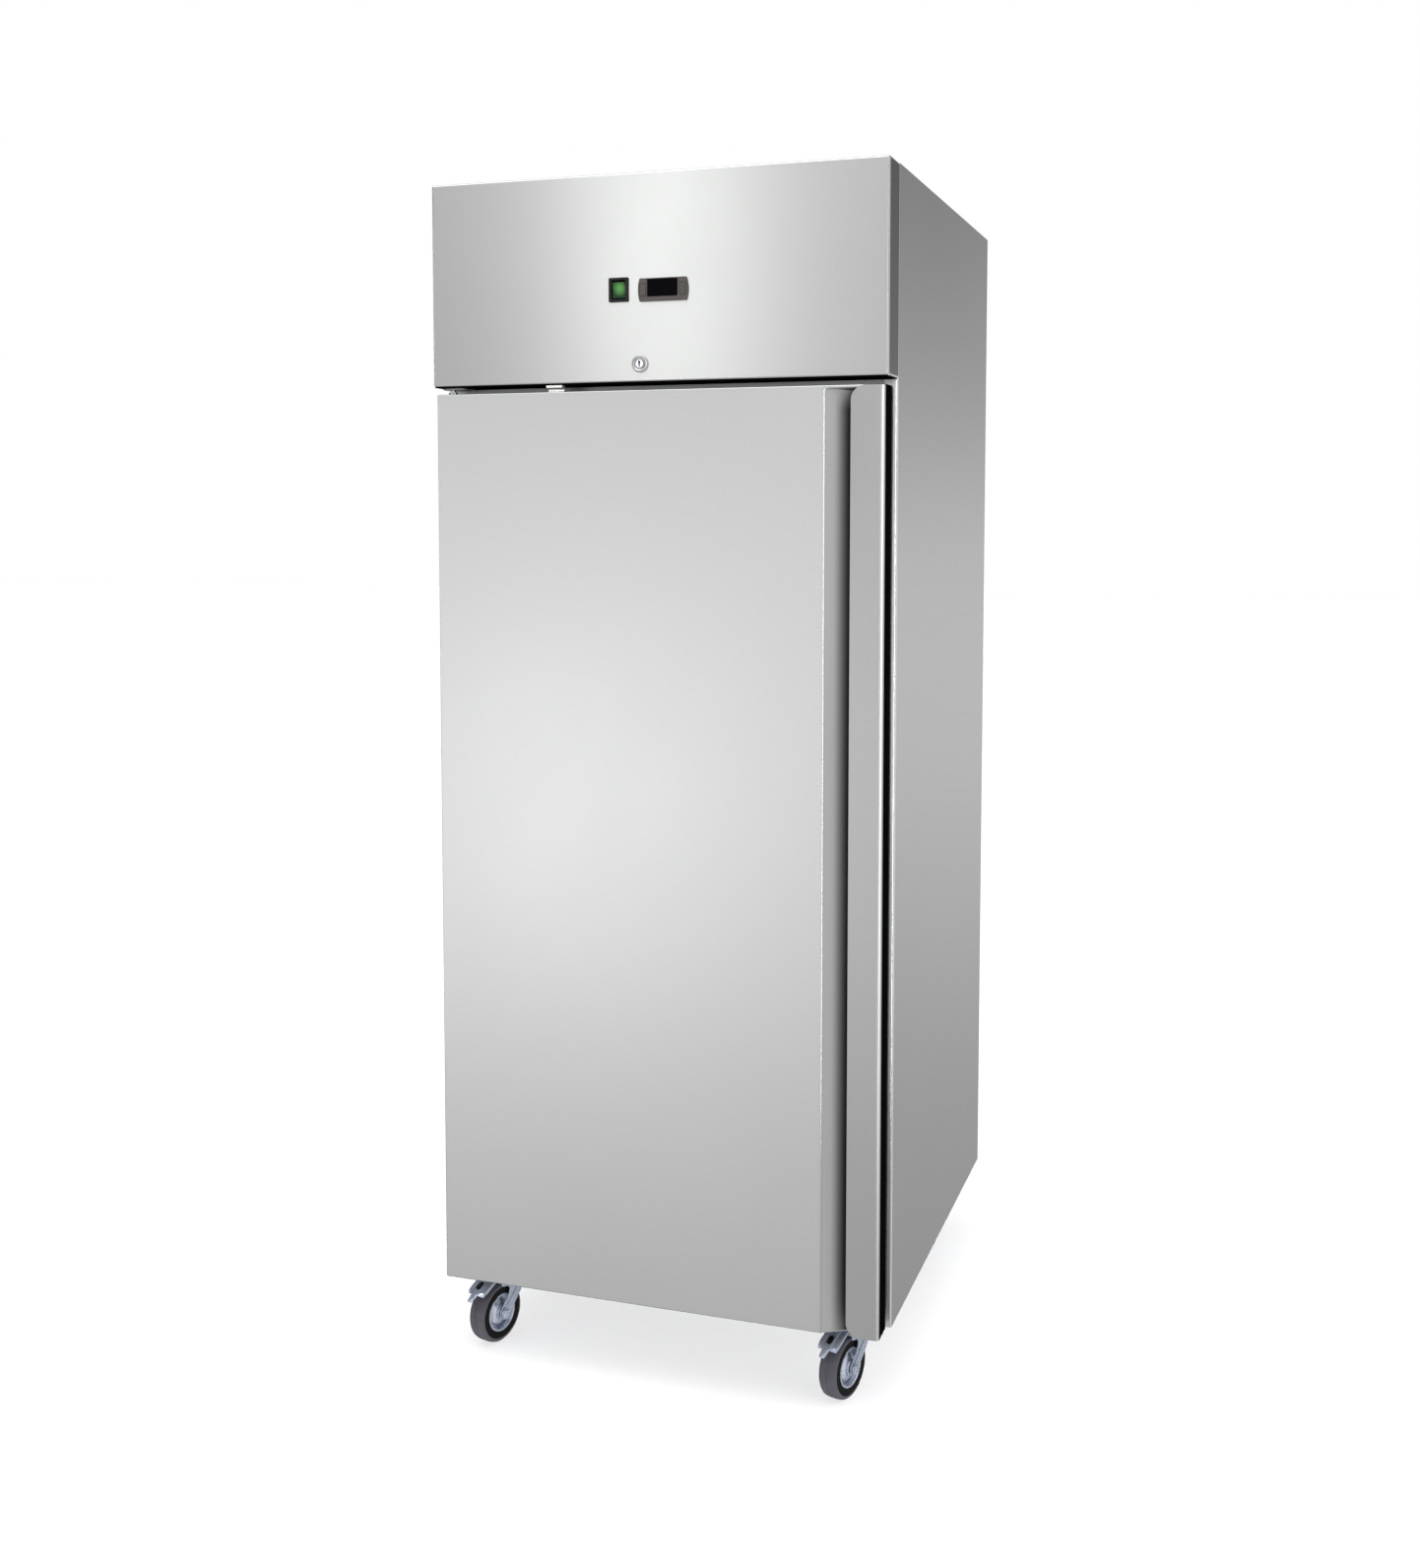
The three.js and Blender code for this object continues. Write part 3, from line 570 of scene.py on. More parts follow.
# Black for the door's edge profile, and also the black that paints shade under the head, at the frame's sides
# and in the keyhole.
black_profile = plain(
    "black_profile", (0.003, 0.003, 0.003), 0.7, 0.0, (900, 900, 60), 0.3, bump=0.2, depth=0.05,
    Specular_IOR_Level=0.03, IOR=1.06,
)
grey_plastic = plain("grey_plastic", (0.115, 0.105, 0.095), 0.46, 0.0, 900, 0.10, bump=0.3, depth=0.05)
frame_plastic = plain(
    "frame_plastic", (0.035, 0.035, 0.036), 0.55, 0.0, (900, 900, 60), 0.2, bump=0.2, depth=0.05
)
white_plastic = plain("white_plastic", (0.84, 0.84, 0.82), 0.38, 0.0, 700, 0.03, bump=0.12, depth=0.04)
dark_window = plain(
    "dark_window", (0.003, 0.003, 0.004), 0.07, 0.0, 300, 0.3, 0.02, bump=0.01, depth=0.01,
    Specular_IOR_Level=0.04,
)
gasket_rubber = plain("gasket_rubber", (0.016, 0.016, 0.017), 0.62, 0.0, 600, 0.3, bump=0.3, depth=0.08)
tread_rubber = plain(
    "tread_rubber", (0.115, 0.110, 0.132), 0.74, 0.0, 420, 0.22, 0.08, bump=0.5, depth=0.2, cloud=60.0
)
wall_rubber = plain(
    "wall_rubber", (0.005, 0.005, 0.006), 0.66, 0.0, 420, 0.3, 0.08, bump=0.4, depth=0.12,
    Specular_IOR_Level=0.2,
)
black_paint = plain(
    "black_paint", (0.016, 0.016, 0.018), 0.34, 0.0, 260, 0.25, 0.08, bump=0.3, depth=0.12, cloud=18.0,
    Coat_Weight=0.3,
)
coated_wire = plain(
    "coated_wire", (0.70, 0.71, 0.70), 0.36, 0.0, 350, 0.05, 0.07, bump=0.2, depth=0.08, Coat_Weight=0.3
)


def paint_lip_shadow(material, start, stop, top, fade):
    """Paints the shadow under the handle lip into a steel's colour: darkens it from x = start to stop, fading
    out over a distance below the height top.
    """
    nodes = Nodes(material.node_tree, clear=False)
    base = nodes.find("ShaderNodeBsdfPrincipled").inputs["Base Color"]
    x, _, z = nodes.split("Object")
    deep = nodes.mapped(x, 0.0, 1.0, start * MM, stop * MM)
    under = nodes.mapped(z, 1.0, 0.0, (top - fade) * MM, top * MM)
    share = nodes.math("MULTIPLY", deep, under)
    # The near-black that the painted shadow mixes into the steel's colour.
    mixed = nodes.mixed(share, base.links[0].from_socket, (0.03, 0.03, 0.03, 1.0))
    nodes.link(mixed, base)


def spangled():
    """Hot-dip galvanized sheet: crystals of slightly different greys."""
    material, nodes, shader = finish(
        "galvanized", (0.60, 0.62, 0.64), 0.42, 1.0, 300, rough_swing=0.05, bump=0.08, depth=0.05
    )
    cells = nodes.add("ShaderNodeTexVoronoi", Scale=1.0)
    nodes.link(nodes.scaled((90, 90, 90)), cells.inputs["Vector"])
    shade = nodes.add("ShaderNodeSeparateColor")
    nodes.link(cells.outputs["Color"], shade.inputs["Color"])
    tint = nodes.tinted(shade.outputs["Red"], [(0.0, (0.55, 0.57, 0.59)), (1.0, (0.66, 0.68, 0.70))])
    nodes.link(tint, shader.inputs["Base Color"])
    nodes.link(nodes.mapped(shade.outputs["Green"], 0.34, 0.52), shader.inputs["Roughness"])
    return material


def lens(name, place, reach, dark, bright, glow):
    """Translucent plastic lit from behind about a place of the object, given in millimetres."""
    material, nodes, shader = finish(
        name, dark, 0.22, 0.0, 500, 0.1, 0.04, bump=0.08, depth=0.05, Coat_Weight=0.4, Emission_Strength=glow
    )
    coordinates = nodes.add("ShaderNodeTexCoord")
    distance = nodes.add("ShaderNodeVectorMath", operation="DISTANCE")
    distance.inputs[1].default_value = Vector(place) * MM
    nodes.link(coordinates.outputs["Object"], distance.inputs[0])
    share = nodes.mapped(distance.outputs["Value"], 1.0, 0.0, 0.0, reach * MM)
    colour = nodes.tinted(share, [(0.0, dark), (0.75, bright)])
    nodes.link(colour, shader.inputs["Base Color"])
    nodes.link(colour, shader.inputs["Emission Color"])
    return material


galvanized = spangled()

# ---- shared places ------------------------------------------------------------------

DOOR_LOW, DOOR_HIGH = at("door_skin")
HEAD_LOW, HEAD_HIGH = at("head_panel")
FACE = DOOR_LOW.y
FRAME = at("inner_liner")[0].y
BARREL_LOW, BARREL_HIGH = at("lock_barrel")
LOCK_X = (BARREL_LOW.x + BARREL_HIGH.x) / 2
LOCK_Z = (BARREL_LOW.z + BARREL_HIGH.z) / 2
CAVITY_SIDE = at("shelf_rack_right")[1].x + 0.3
CAVITY_BACK = at("evaporator_cover")[1].y + 0.3
CAVITY_TOP = at("evaporator_cover")[1].z + 0.3
CAVITY_FLOOR = 196.0
PIVOT = pivot("door_hinge")


# ---- cabinet ------------------------------------------------------------------------


def row(first, last, count):
    """Evenly spaced places, the ends included."""
    return [first + i * (last - first) / (count - 1) for i in range(count)]


def make_side_panel(side):
    """A sheet folded in at the front and the back, with a row of rivets on the rear fold."""
    node = f"side_panel_{side}"
    low, high = at(node)
    sign = 1 if side == "right" else -1
    outer = high.x if sign > 0 else -low.x
    edge = outer - (high.x - low.x)
    path = [(edge, low.y), (outer, low.y), (outer, high.y), (edge, high.y)]
    section = [(sign * x, y) for x, y in sheet(path, 1.2, 3.2)]
    bm = bmesh.new()
    add_prism(bm, "z", section, low.z, high.z)
    for z in row(low.z + 60, high.z - 60, 9):
        add_screw(bm, "y", (sign * (edge + 9), high.y, z), 3.2, 1.4, inward=-1)
    made = piece(node, bm, ROOT, side_steel, [node], limit=22)
    polish_and_highlight_folds(made, highlit_fold_steel)


def cam_slot(low):
    """The cutter for the slot in the head panel's lower fold that the lock's cam drops through."""
    return tool_of(add_box, (LOCK_X - 9, low.y + 25, low.z - 5), (LOCK_X + 48, low.y + 37, low.z + 5))


def make_head_panel():
    """A tray turned on its side, with rounded folds, a slot for the lock cam and a narrow top edge."""
    low, high = HEAD_LOW, HEAD_HIGH
    thick, top_fold = 1.2, 18.0
    bm = bmesh.new()
    add_box(bm, low, high)
    front = [e for e in bm.edges if any(v.co.y < low.y + 1 for v in e.verts)]
    round_edges(bm, front, 3.2, 4)
    hollow = bmesh.new()
    add_box(
        hollow, (low.x + thick, low.y + thick, low.z + thick), (high.x - thick, high.y + 10, high.z - thick)
    )
    inner = [e for e in hollow.edges if any(v.co.y < low.y + 2 for v in e.verts)]
    round_edges(hollow, inner, 2.0, 3)
    open_top = tool_of(
        add_box, (low.x + 1.4, low.y + top_fold, high.z - 5), (high.x - 1.4, high.y + 10, high.z + 5)
    )
    holes = [tool_of(add_rod, "y", (LOCK_X, low.y, LOCK_Z), 9.4, -5, 5, 32)]
    for node, inset in (("power_switch_housing", 2.2), ("controller_housing", 4.4)):
        a, b = at(node)
        holes.append(tool_of(
            add_box, (a.x + inset, low.y - 5, a.z + inset), (b.x - inset, low.y + 5, b.z - inset)
        ))
    bm = cut(bm, hollow, open_top, cam_slot(low), *holes)
    made = piece("head_panel", bm, ROOT, head_steel, ["head_panel"], limit=22)
    polish_and_highlight_folds(made, highlit_fold_steel)
    # Painted shade: the head panel's side faces take the dark copy of the steel.
    made.data.materials.append(shaded_return_steel)
    for face in made.data.polygons:
        if abs(face.normal.x) > 0.999:
            face.material_index = 2


def make_shade_and_frame_strips():
    """A black strip under the head panel's lower fold, which paints the shade there, and the dark strip on
    the front frame, painted black at its sides below the head where shade falls.
    """
    low, high = HEAD_LOW, HEAD_HIGH
    bm = bmesh.new()
    # Painted shade: a black sheet under the head's lower fold, where the underside lies in shade.
    add_box(bm, (low.x + 1.5, low.y + 1.4, low.z - 1.3), (high.x - 1.5, high.y, low.z - 0.1))
    bm = cut(bm, cam_slot(low))
    piece("head_underside_shade_strip", bm, ROOT, black_profile, bevel=0.3)
    low, high = at("inner_liner")
    bm = bmesh.new()
    section = [(0, FRAME + 0.4), (0, FRAME - 0.5), (0.4, FRAME - 0.7), (44, FRAME - 0.7), (44, FRAME + 0.4)]
    loops = ring_loops(low.x + 0.3, high.x - 0.3, low.z + 1, high.z - 1, section)
    add_loft(bm, loops, cap=False, closed=True)
    made = piece("front_frame_strip", bm, ROOT, frame_plastic, limit=30)
    # Painted shade: the strip's faces at the sides, below the head, take the black, where shade falls between
    # door and side panel.
    made.data.materials.append(black_profile)
    for face in made.data.polygons:
        if abs(face.center.x) > (high.x - 50) * MM and face.center.z < HEAD_LOW.z * MM:
            face.material_index = 1


def make_liner():
    """The steel box inside, with coved corners, folded out at the mouth into the front frame."""
    low, high = at("inner_liner")
    side, back = CAVITY_SIDE, CAVITY_BACK
    floor, top = CAVITY_FLOOR, CAVITY_TOP
    bm = bmesh.new()
    frame_edge = rectangle(low.x, high.x, low.z, high.z, 1.0, 6)
    loops = [[(x, y, z) for x, z in frame_edge] for y in (FRAME + 1.2, FRAME)]
    section = [(-2.5, FRAME), (-1.0, FRAME + 0.4), (0, FRAME + 2.5), (0, back - 14), (1.9, back - 7),
               (7, back - 1.9), (14, back)]
    loops += ring_loops(-side, side, floor, top, section, 14.0, 6)
    add_loft(bm, loops, cap=False)
    bm.verts.ensure_lookup_table()
    last = [v for v in bm.verts if abs(v.co.y - back) < 1e-4]
    bm.faces.new(sorted(last, key=lambda v: math.atan2(v.co.z - (floor + top) / 2, v.co.x)))
    made = piece("inner_liner", bm, ROOT, inner_steel, ["inner_liner"], limit=24)
    modifier = made.modifiers.new("sheet", "SOLIDIFY")
    modifier.thickness = 1.0 * MM
    modifier.offset = 1.0


def make_back_panel():
    """A galvanized sheet with a pressed border, stiffening beads and screws."""
    low, high = at("back_panel")
    bm = bmesh.new()
    section = [(0, low.y), (0, high.y), (26, high.y), (29, high.y - 1.0), (34, high.y - 1.0), (37, high.y)]
    loops = ring_loops(low.x, high.x, low.z, high.z, section, 2.0, 3)
    loops.append(ring_loops(low.x, high.x, low.z, high.z, [(40, high.y)], 44.0, 3)[0])
    add_loft(bm, loops)
    bead = [(-4, -0.2), (-2.6, 0.9), (0, 1.3), (2.6, 0.9), (4, -0.2)]
    for share in (0.25, 0.5, 0.75):
        z = low.z + share * (high.z - low.z)
        add_prism(bm, "x", [(high.y + y, z + dz) for dz, y in bead], low.x + 90, high.x - 90)
    places = [(x, z) for z in row(low.z + 30, high.z - 30, 8) for x in (low.x + 10, high.x - 10)]
    places += [(x, z) for x in (-200, 0, 200) for z in (high.z - 10, low.z + 10)]
    for x, z in places:
        add_screw(bm, "y", (x, high.y, z), 3.6, 1.8, inward=-1)
    piece("back_panel", bm, ROOT, galvanized, ["back_panel"], limit=24)


def make_deck():
    """The sheet that carries the cooling set, with ribs pressed up and screws along its sides."""
    low, high = at("machine_deck")
    bm = bmesh.new()
    add_box(bm, low, high)
    rib = [(-5, -0.3), (-3.4, 1.4), (0, 2.0), (3.4, 1.4), (5, -0.3)]
    for y in (-300, -230, 300, 340):
        add_prism(bm, "x", [(y + dy, high.z + z) for dy, z in rib], low.x + 40, high.x - 40)
    for y in range(-320, 400, 90):
        for x in (low.x + 12, high.x - 12):
            add_screw(bm, "z", (x, y, high.z), 4.0, 2.0, inward=-1)
    piece("machine_deck", bm, ROOT, galvanized, ["machine_deck"], limit=24)


def make_base():
    """The base sheet, with a row of pressed ribs between the casters and screws along its rim."""
    low, high = at("base_panel")
    bm = bmesh.new()
    add_box(bm, low, high)
    rib = [(-9, 0.3), (-6, -1.6), (6, -1.6), (9, 0.3)]
    for x in range(-180, 181, 90):
        add_prism(bm, "y", [(x + dx, low.z + dz) for dx, dz in rib], low.y + 60, high.y - 60)
    for y in (low.y + 12, (low.y + high.y) / 2, high.y - 12):
        for x in (low.x + 14, low.x + 220, high.x - 220, high.x - 14):
            add_screw(bm, "z", (x, y, low.z), 4.2, 2.0)
    piece("base_panel", bm, ROOT, galvanized, ["base_panel"], limit=24)


for side in ("left", "right"):
    make_side_panel(side)
make_head_panel()
make_shade_and_frame_strips()
make_liner()
make_back_panel()
make_deck()
make_base()
keep("insulation_foam", foam)

# ---- racks, runners and shelves -----------------------------------------------------


def make_rack(side):
    """Two slotted posts joined by cross bars."""
    node = f"shelf_rack_{side}"
    low, high = at(node)
    post, slot_pitch, slot_height = 26.0, 25, 12
    sign = 1 if side == "right" else -1
    inner = high.x - 2.0 if sign < 0 else low.x + 2.0
    face = sorted((inner, inner - sign * 2.0))
    fold = sorted((inner, inner + sign * 9.6))
    heights = [low.z]
    level = low.z + 14
    while level < high.z - 20:
        heights += [level, level + slot_height]
        level += slot_pitch
    heights.append(high.z)
    bm = bmesh.new()
    for y in (low.y, high.y - post):
        add_plate(bm, "x", [y, y + 9, y + 17, y + post], heights, *face, lambda i, j: i == 1 and j % 2 == 1)
        for edge in (y, y + post - 1.6):
            add_box(bm, (fold[0], edge, low.z), (fold[1], edge + 1.6, high.z))
    centre = (low.x + high.x) / 2
    for z in (low.z + 20, low.z + 390, low.z + 750, high.z - 45):
        points = rectangle(centre - 3, centre + 3, z - 8, z + 8, 1.4, 3)
        add_prism(bm, "y", points, low.y + 10, high.y - 10)
    piece(node, bm, ROOT, inner_steel, [node], limit=30)


def make_runner(side, number):
    """A channel open towards the middle, with a stop at its rear end."""
    node = f"shelf_runner_{side}_{number}"
    low, high = at(node)
    sign = 1 if side == "right" else -1
    wall = high.x if sign > 0 else -low.x
    ledge = wall - (high.x - low.x)
    path = [(wall - 11, high.z), (wall, high.z), (wall, low.z), (ledge, low.z)]
    section = [(sign * x, z) for x, z in sheet(path[::-1], 2.0, 2.6)]
    bm = bmesh.new()
    add_prism(bm, "y", section, low.y, high.y)
    stop = [
        (ledge + 1, low.z + 1.5), (wall - 2.5, low.z + 1.5), (wall - 2.5, high.z - 2.5),
        (ledge + 18, low.z + 9),
    ]
    add_prism(bm, "y", [(sign * x, z) for x, z in stop], high.y - 1.6, high.y)
    piece(node, bm, ROOT, inner_steel, [node], limit=24)


def make_shelf(number):
    """A border wire, cross rods and close front-to-back wires, all plastic coated."""
    node = f"wire_shelf_{number}"
    low, high = at(node)
    mid = (low.z + high.z) / 2
    border, cross, wire = 3.0, 2.2, 1.5
    left, right, front, rear = low.x + border, high.x - border, low.y + border, high.y - border
    bm = bmesh.new()
    corners = rectangle(left, right, front, rear, 16.0, 6)
    add_tube(bm, [(x, y, mid) for x, y in corners], border, 12, closed=True)
    for y in (-190, 14, 218):
        add_tube(bm, [(left, y, low.z + cross), (right, y, low.z + cross)], cross, 10)
    for x in row(left, right, 27)[1:-1]:
        add_tube(bm, [(x, front, high.z - 2.0), (x, rear, high.z - 2.0)], wire, 8)
    piece(node, bm, ROOT, coated_wire, [node], limit=35)


for side in ("left", "right"):
    make_rack(side)
    for number in (1, 2, 3):
        make_runner(side, number)
for number in (1, 2, 3):
    make_shelf(number)

# ---- cooling set --------------------------------------------------------------------


def fan_axis(node):
    """The middle of a fan, on the axis that it spins about."""
    low, high = at(node)
    centre = pivot(f"{node}_spin")
    return Vector((centre.x, (low.y + high.y) / 2, centre.z))


def add_blades(bm, centre, hub, tip, blades, pitch, half_depth):
    """Blades about Y whose chord grows outwards and whose pitch falls, inside half_depth each way."""
    steepest = 0.48 * tip * math.sin(math.radians(pitch)) + 0.05 * tip
    squash = min(1.0, half_depth / steepest)
    front = [(-1, 0.2), (-0.5, 0.9), (0, 1.1), (0.5, 0.9), (1, 0.2)]
    outline = front + [(across, -thick) for across, thick in reversed(front)]
    for blade in range(blades):
        loops = []
        for step in range(7):
            share = step / 6
            radius = hub * 0.8 + (tip - hub * 0.8) * share
            chord = tip * (0.22 + 0.26 * math.sin(math.pi * (0.25 + 0.55 * share)))
            sweep = 0.35 * share * share
            angle = math.radians(pitch * (1.25 - 0.5 * share))
            points = []
            for across, thick in outline:
                camber = 0.10 * chord * (1 - across * across)
                along = across * chord * math.cos(angle) + thick * math.sin(angle)
                y = across * chord * math.sin(angle) - (thick + camber) * math.cos(angle)
                turn = 2 * math.pi * blade / blades + sweep + along / radius
                x, z = radius * math.cos(turn), radius * math.sin(turn)
                points.append((centre.x + x, centre.y + squash * y, centre.z + z))
            loops.append(points)
        add_loft(bm, loops)


def make_fan(node, material, blades, pitch):
    """A hub with a domed nose and pitched blades."""
    low, high = at(node)
    centre = fan_axis(node)
    tip = max(high.x - centre.x, centre.x - low.x) - 1.0
    hub = tip * 0.28
    bm = bmesh.new()
    nose = [(0, -9), (hub * 0.5, -8.4), (hub * 0.85, -6.6), (hub, -3.6)]
    add_turned(bm, "y", centre, nose + [(hub, 9), (hub - 2, 9), (hub - 2.4, 2), (0, 2)], 36)
    add_blades(bm, centre, hub, tip, blades, pitch, (high.y - low.y) / 2 - 0.6)
    piece(node, bm, node, material, [node], limit=32)


def add_guard(bm, centre, radius, rings, spokes, wire, bow):
    """A wire guard about Y: rings held by spokes that bow forward by bow."""
    def at_radius(r, turn, back=0.0):
        bulge = -bow * (1 - (r / radius) ** 2)
        return centre.x + r * math.cos(turn), centre.y + bulge + back, centre.z + r * math.sin(turn)

    for r in row(0.18 * radius, radius, rings):
        add_tube(bm, [at_radius(r, 2 * math.pi * k / 40) for k in range(40)], wire, 6, closed=True)
    for k in range(spokes):
        turn = 2 * math.pi * (k + 0.5) / spokes
        add_tube(bm, [at_radius(r, turn, 1.6 * wire) for r in row(0.18 * radius, radius, 6)], wire * 1.2, 6)


def make_evaporator_cover():
    """A folded housing with a fan opening, air slots in its floor and side louvres."""
    low, high = at("evaporator_cover")
    fan = fan_axis("evaporator_fan")
    bm = bmesh.new()
    add_box(bm, low, high)
    outer = [
        e for e in bm.edges
        if (min(v.co.z for v in e.verts) < low.z + 1 or e.calc_length() < 140)
        and any(v.co.y < low.y + 1 for v in e.verts)
    ]
    round_edges(bm, outer, 6, 4)
    hollow = tool_of(
        add_box, (low.x + 1.2, low.y + 1.2, low.z + 1.2), (high.x - 1.2, high.y + 10, high.z + 10)
    )
    opening = tool_of(add_rod, "y", (fan.x, low.y, fan.z), 60, -5, 6, 48)
    slots = bmesh.new()
    for i in range(14):
        x = -208 + i * 32
        add_prism(slots, "z", rectangle(x - 3, x + 3, 190, 300, 2.9, 4), low.z - 5, low.z + 5)
    for sign in (-1, 1):
        for i in range(5):
            x = sign * (110 + i * 28)
            opened = rectangle(x - 3, x + 3, low.z + 30, high.z - 30, 2.9, 4)
            add_prism(slots, "y", opened, low.y - 5, low.y + 5)
    bm = cut(bm, hollow, opening, slots)
    for x in (low.x + 20, high.x - 20):
        for z in (low.z + 16, high.z - 16):
            add_screw(bm, "y", (x, low.y, z), 4.2, 2.2)
    piece("evaporator_cover", bm, ROOT, inner_steel, ["evaporator_cover"], limit=24)
    guard = bmesh.new()
    add_guard(guard, Vector((fan.x, low.y - 1.2, fan.z)), 64, 7, 4, 0.9, 8)
    piece("evaporator_fan_guard", guard, ROOT, black_paint, limit=40)


def make_coil(node, pitch, rows, columns):
    """Fins across the coil's length, end plates, and tubes through them with bends at both ends."""
    low, high = at(node)
    low.x += 10
    high.x -= 10
    fin, plate, radius, out = 0.5, 1.6, 4.6, 4.0
    fins, tubes = bmesh.new(), bmesh.new()
    count = int((high.x - low.x) / pitch)
    for i in range(count + 1):
        x = low.x + i * (high.x - low.x - fin) / count
        add_box(fins, (x, low.y, low.z), (x + fin, high.y, high.z))
    for x in (low.x - plate, high.x):
        add_box(fins, (x, low.y - 2, low.z - 0.5), (x + plate, high.y + 2, high.z + 0.5))
    half = (high.z - low.z) / rows / 2
    arc = [math.pi * s / 8 for s in range(9)]
    for k in range(rows * columns):
        column, level = divmod(k, rows)
        y = low.y + (column + 0.5) * (high.y - low.y) / columns
        z = low.z + (level + 0.5) * (high.z - low.z) / rows
        add_tube(tubes, [(low.x - out, y, z), (high.x + out, y, z)], radius, 10)
        if level < rows - 1:
            end, sign = (low.x - out, -1) if k % 2 else (high.x + out, 1)
            bend = [(end + sign * half * math.sin(t), y, z + half - half * math.cos(t)) for t in arc]
            add_tube(tubes, bend, radius, 10)
    piece(node, fins, ROOT, aluminium, [node], limit=30)
    piece(f"{node}_tubes", tubes, ROOT, copper, limit=40)


def make_motor(node, fan_node, radius, length, on_arm):
    """A ribbed can with two end bells and a shaft, on a cross arm or on a foot."""
    low, high = at(node)
    centre = fan_axis(fan_node)
    y = low.y
    front = Vector((centre.x, y, centre.z))
    bm = bmesh.new()
    profile = [(0, 0), (radius * 0.35, 0), (radius * 0.45, 2), (radius * 0.9, 3.5), (radius, 7)]
    groove = radius * 0.94
    for i in range(5):
        start = 9 + i * (length - 18) / 5
        profile += [(radius, start), (groove, start + 0.8), (groove, start + 3), (radius, start + 3.8)]
    profile += [(radius, length - 6), (radius * 0.85, length - 1.2), (radius * 0.4, length), (0, length)]
    add_turned(bm, "y", front, profile, 40)
    tip = centre.y + 2.4 - y
    if tip < 0:
        add_rod(bm, "y", front, 3, tip, 1, 16)
    if on_arm:
        bar = rectangle(low.x, high.x, centre.z - 9, centre.z + 9, 4.0, 4)
        add_prism(bm, "y", bar, y + length - 6, y + length - 3)
        for x in (low.x + 12, low.x + 30, high.x - 30, high.x - 12):
            add_screw(bm, "y", (x, y + length - 6, centre.z), 3.6, 2.2)
    else:
        leg = [
            (centre.x - 30, low.z), (centre.x + 30, low.z),
            (centre.x + 16, centre.z), (centre.x - 16, centre.z),
        ]
        add_prism(bm, "y", leg, y + length - 8, y + length - 5)
        foot = rectangle(centre.x - 45, centre.x + 45, y + length - 8, high.y, 4.0, 4)
        add_prism(bm, "z", foot, low.z, low.z + 3)
        for x in (centre.x - 32, centre.x + 32):
            add_screw(bm, "z", (x, high.y - 14, low.z + 3), 4.2, 2.4, inward=-1)
    piece(node, bm, ROOT, black_paint, [node], limit=30)


def make_lamp():
    """A lit diffuser between two end caps, under the ceiling."""
    low, high = at("interior_lamp")
    middle = (low.y + high.y) / 2
    section = fillet([
        (low.y, high.z), (low.y, low.z + 7), (low.y + 6, low.z), (high.y - 6, low.z), (high.y, low.z + 7),
        (high.y, high.z),
    ], [0, 3, 4, 4, 3, 0])
    bm = bmesh.new()
    add_prism(bm, "x", [(y + (middle - y) * 0.08, z + 0.6) for y, z in section], low.x + 12, high.x - 12)
    glow = lens(
        "lamp_diffuser", ((low.x + high.x) / 2, middle, low.z), 400,
        (0.80, 0.82, 0.84), (0.92, 0.94, 0.95), 0.35,
    )
    piece("lamp_diffuser", bm, ROOT, glow, limit=24)
    caps = bmesh.new()
    for start, end in ((low.x, low.x + 13), (high.x - 13, high.x)):
        add_prism(caps, "x", section, start, end)
    add_box(caps, (low.x + 5, low.y + 1, high.z - 3), (high.x - 5, high.y - 1, high.z))
    piece("interior_lamp", caps, ROOT, white_plastic, ["interior_lamp"], bevel=0.8)


def make_compressor():
    """A welded pot with a seam, a terminal box, stubs, a foot plate and rubber mounts."""
    low, high = at("compressor")
    x, y = (low.x + high.x) / 2, (low.y + high.y) / 2
    base = low.z
    radius = 78.0
    bm = bmesh.new()
    heights = [
        (0, 12), (0.5, 12), (0.74, 15), (0.88, 22), (0.96, 33), (1.0, 48), (1.0, 102), (1.03, 104),
        (1.045, 107),
        (1.045, 111), (1.03, 114), (1.0, 116), (1.0, 142), (0.97, 157), (0.88, 172), (0.72, 184), (0.5, 191),
        (0.25, 194.5), (0, 195.8),
    ]
    add_turned(bm, "z", (x, y, base), [(r * radius, h) for r, h in heights], 56)
    plate = rectangle(low.x, high.x, low.y + 18, high.y - 18, 14.0, 5)
    add_prism(bm, "z", plate, base + 5, base + 9)
    add_box(bm, (x - 62, y - 30, base + 8), (x + 62, y + 30, base + 24))
    for a in (-34, 8):
        add_rod(bm, "y", (x + a, y, base + 60), 4.6, -84, -60, 16)
    piece("compressor", bm, ROOT, black_paint, ["compressor"], limit=32)
    box = bmesh.new()
    add_prism(box, "z", rectangle(x + 40, x + 96, y - 34, y + 34, 6.0, 4), base + 62, base + 122)
    piece("compressor_terminal_box", box, ROOT, black_plastic, bevel=2.0)
    mounts = bmesh.new()
    for a in (-80, 80):
        for b in (-30, 30):
            add_turned(mounts, "z", (x + a, y + b, base), [
                (0, 0), (10, 0), (11, 2), (8, 5), (11, 8), (10, 12), (5, 13), (0, 13),
            ], 24)
            nut = [(0, 0), (6, 0), (6, 3.4), (5, 4.2), (0, 4.2)]
            add_turned(mounts, "z", (x + a, y + b, base + 13), nut, 6)
    piece("compressor_mounts", mounts, ROOT, gasket_rubber, limit=32)


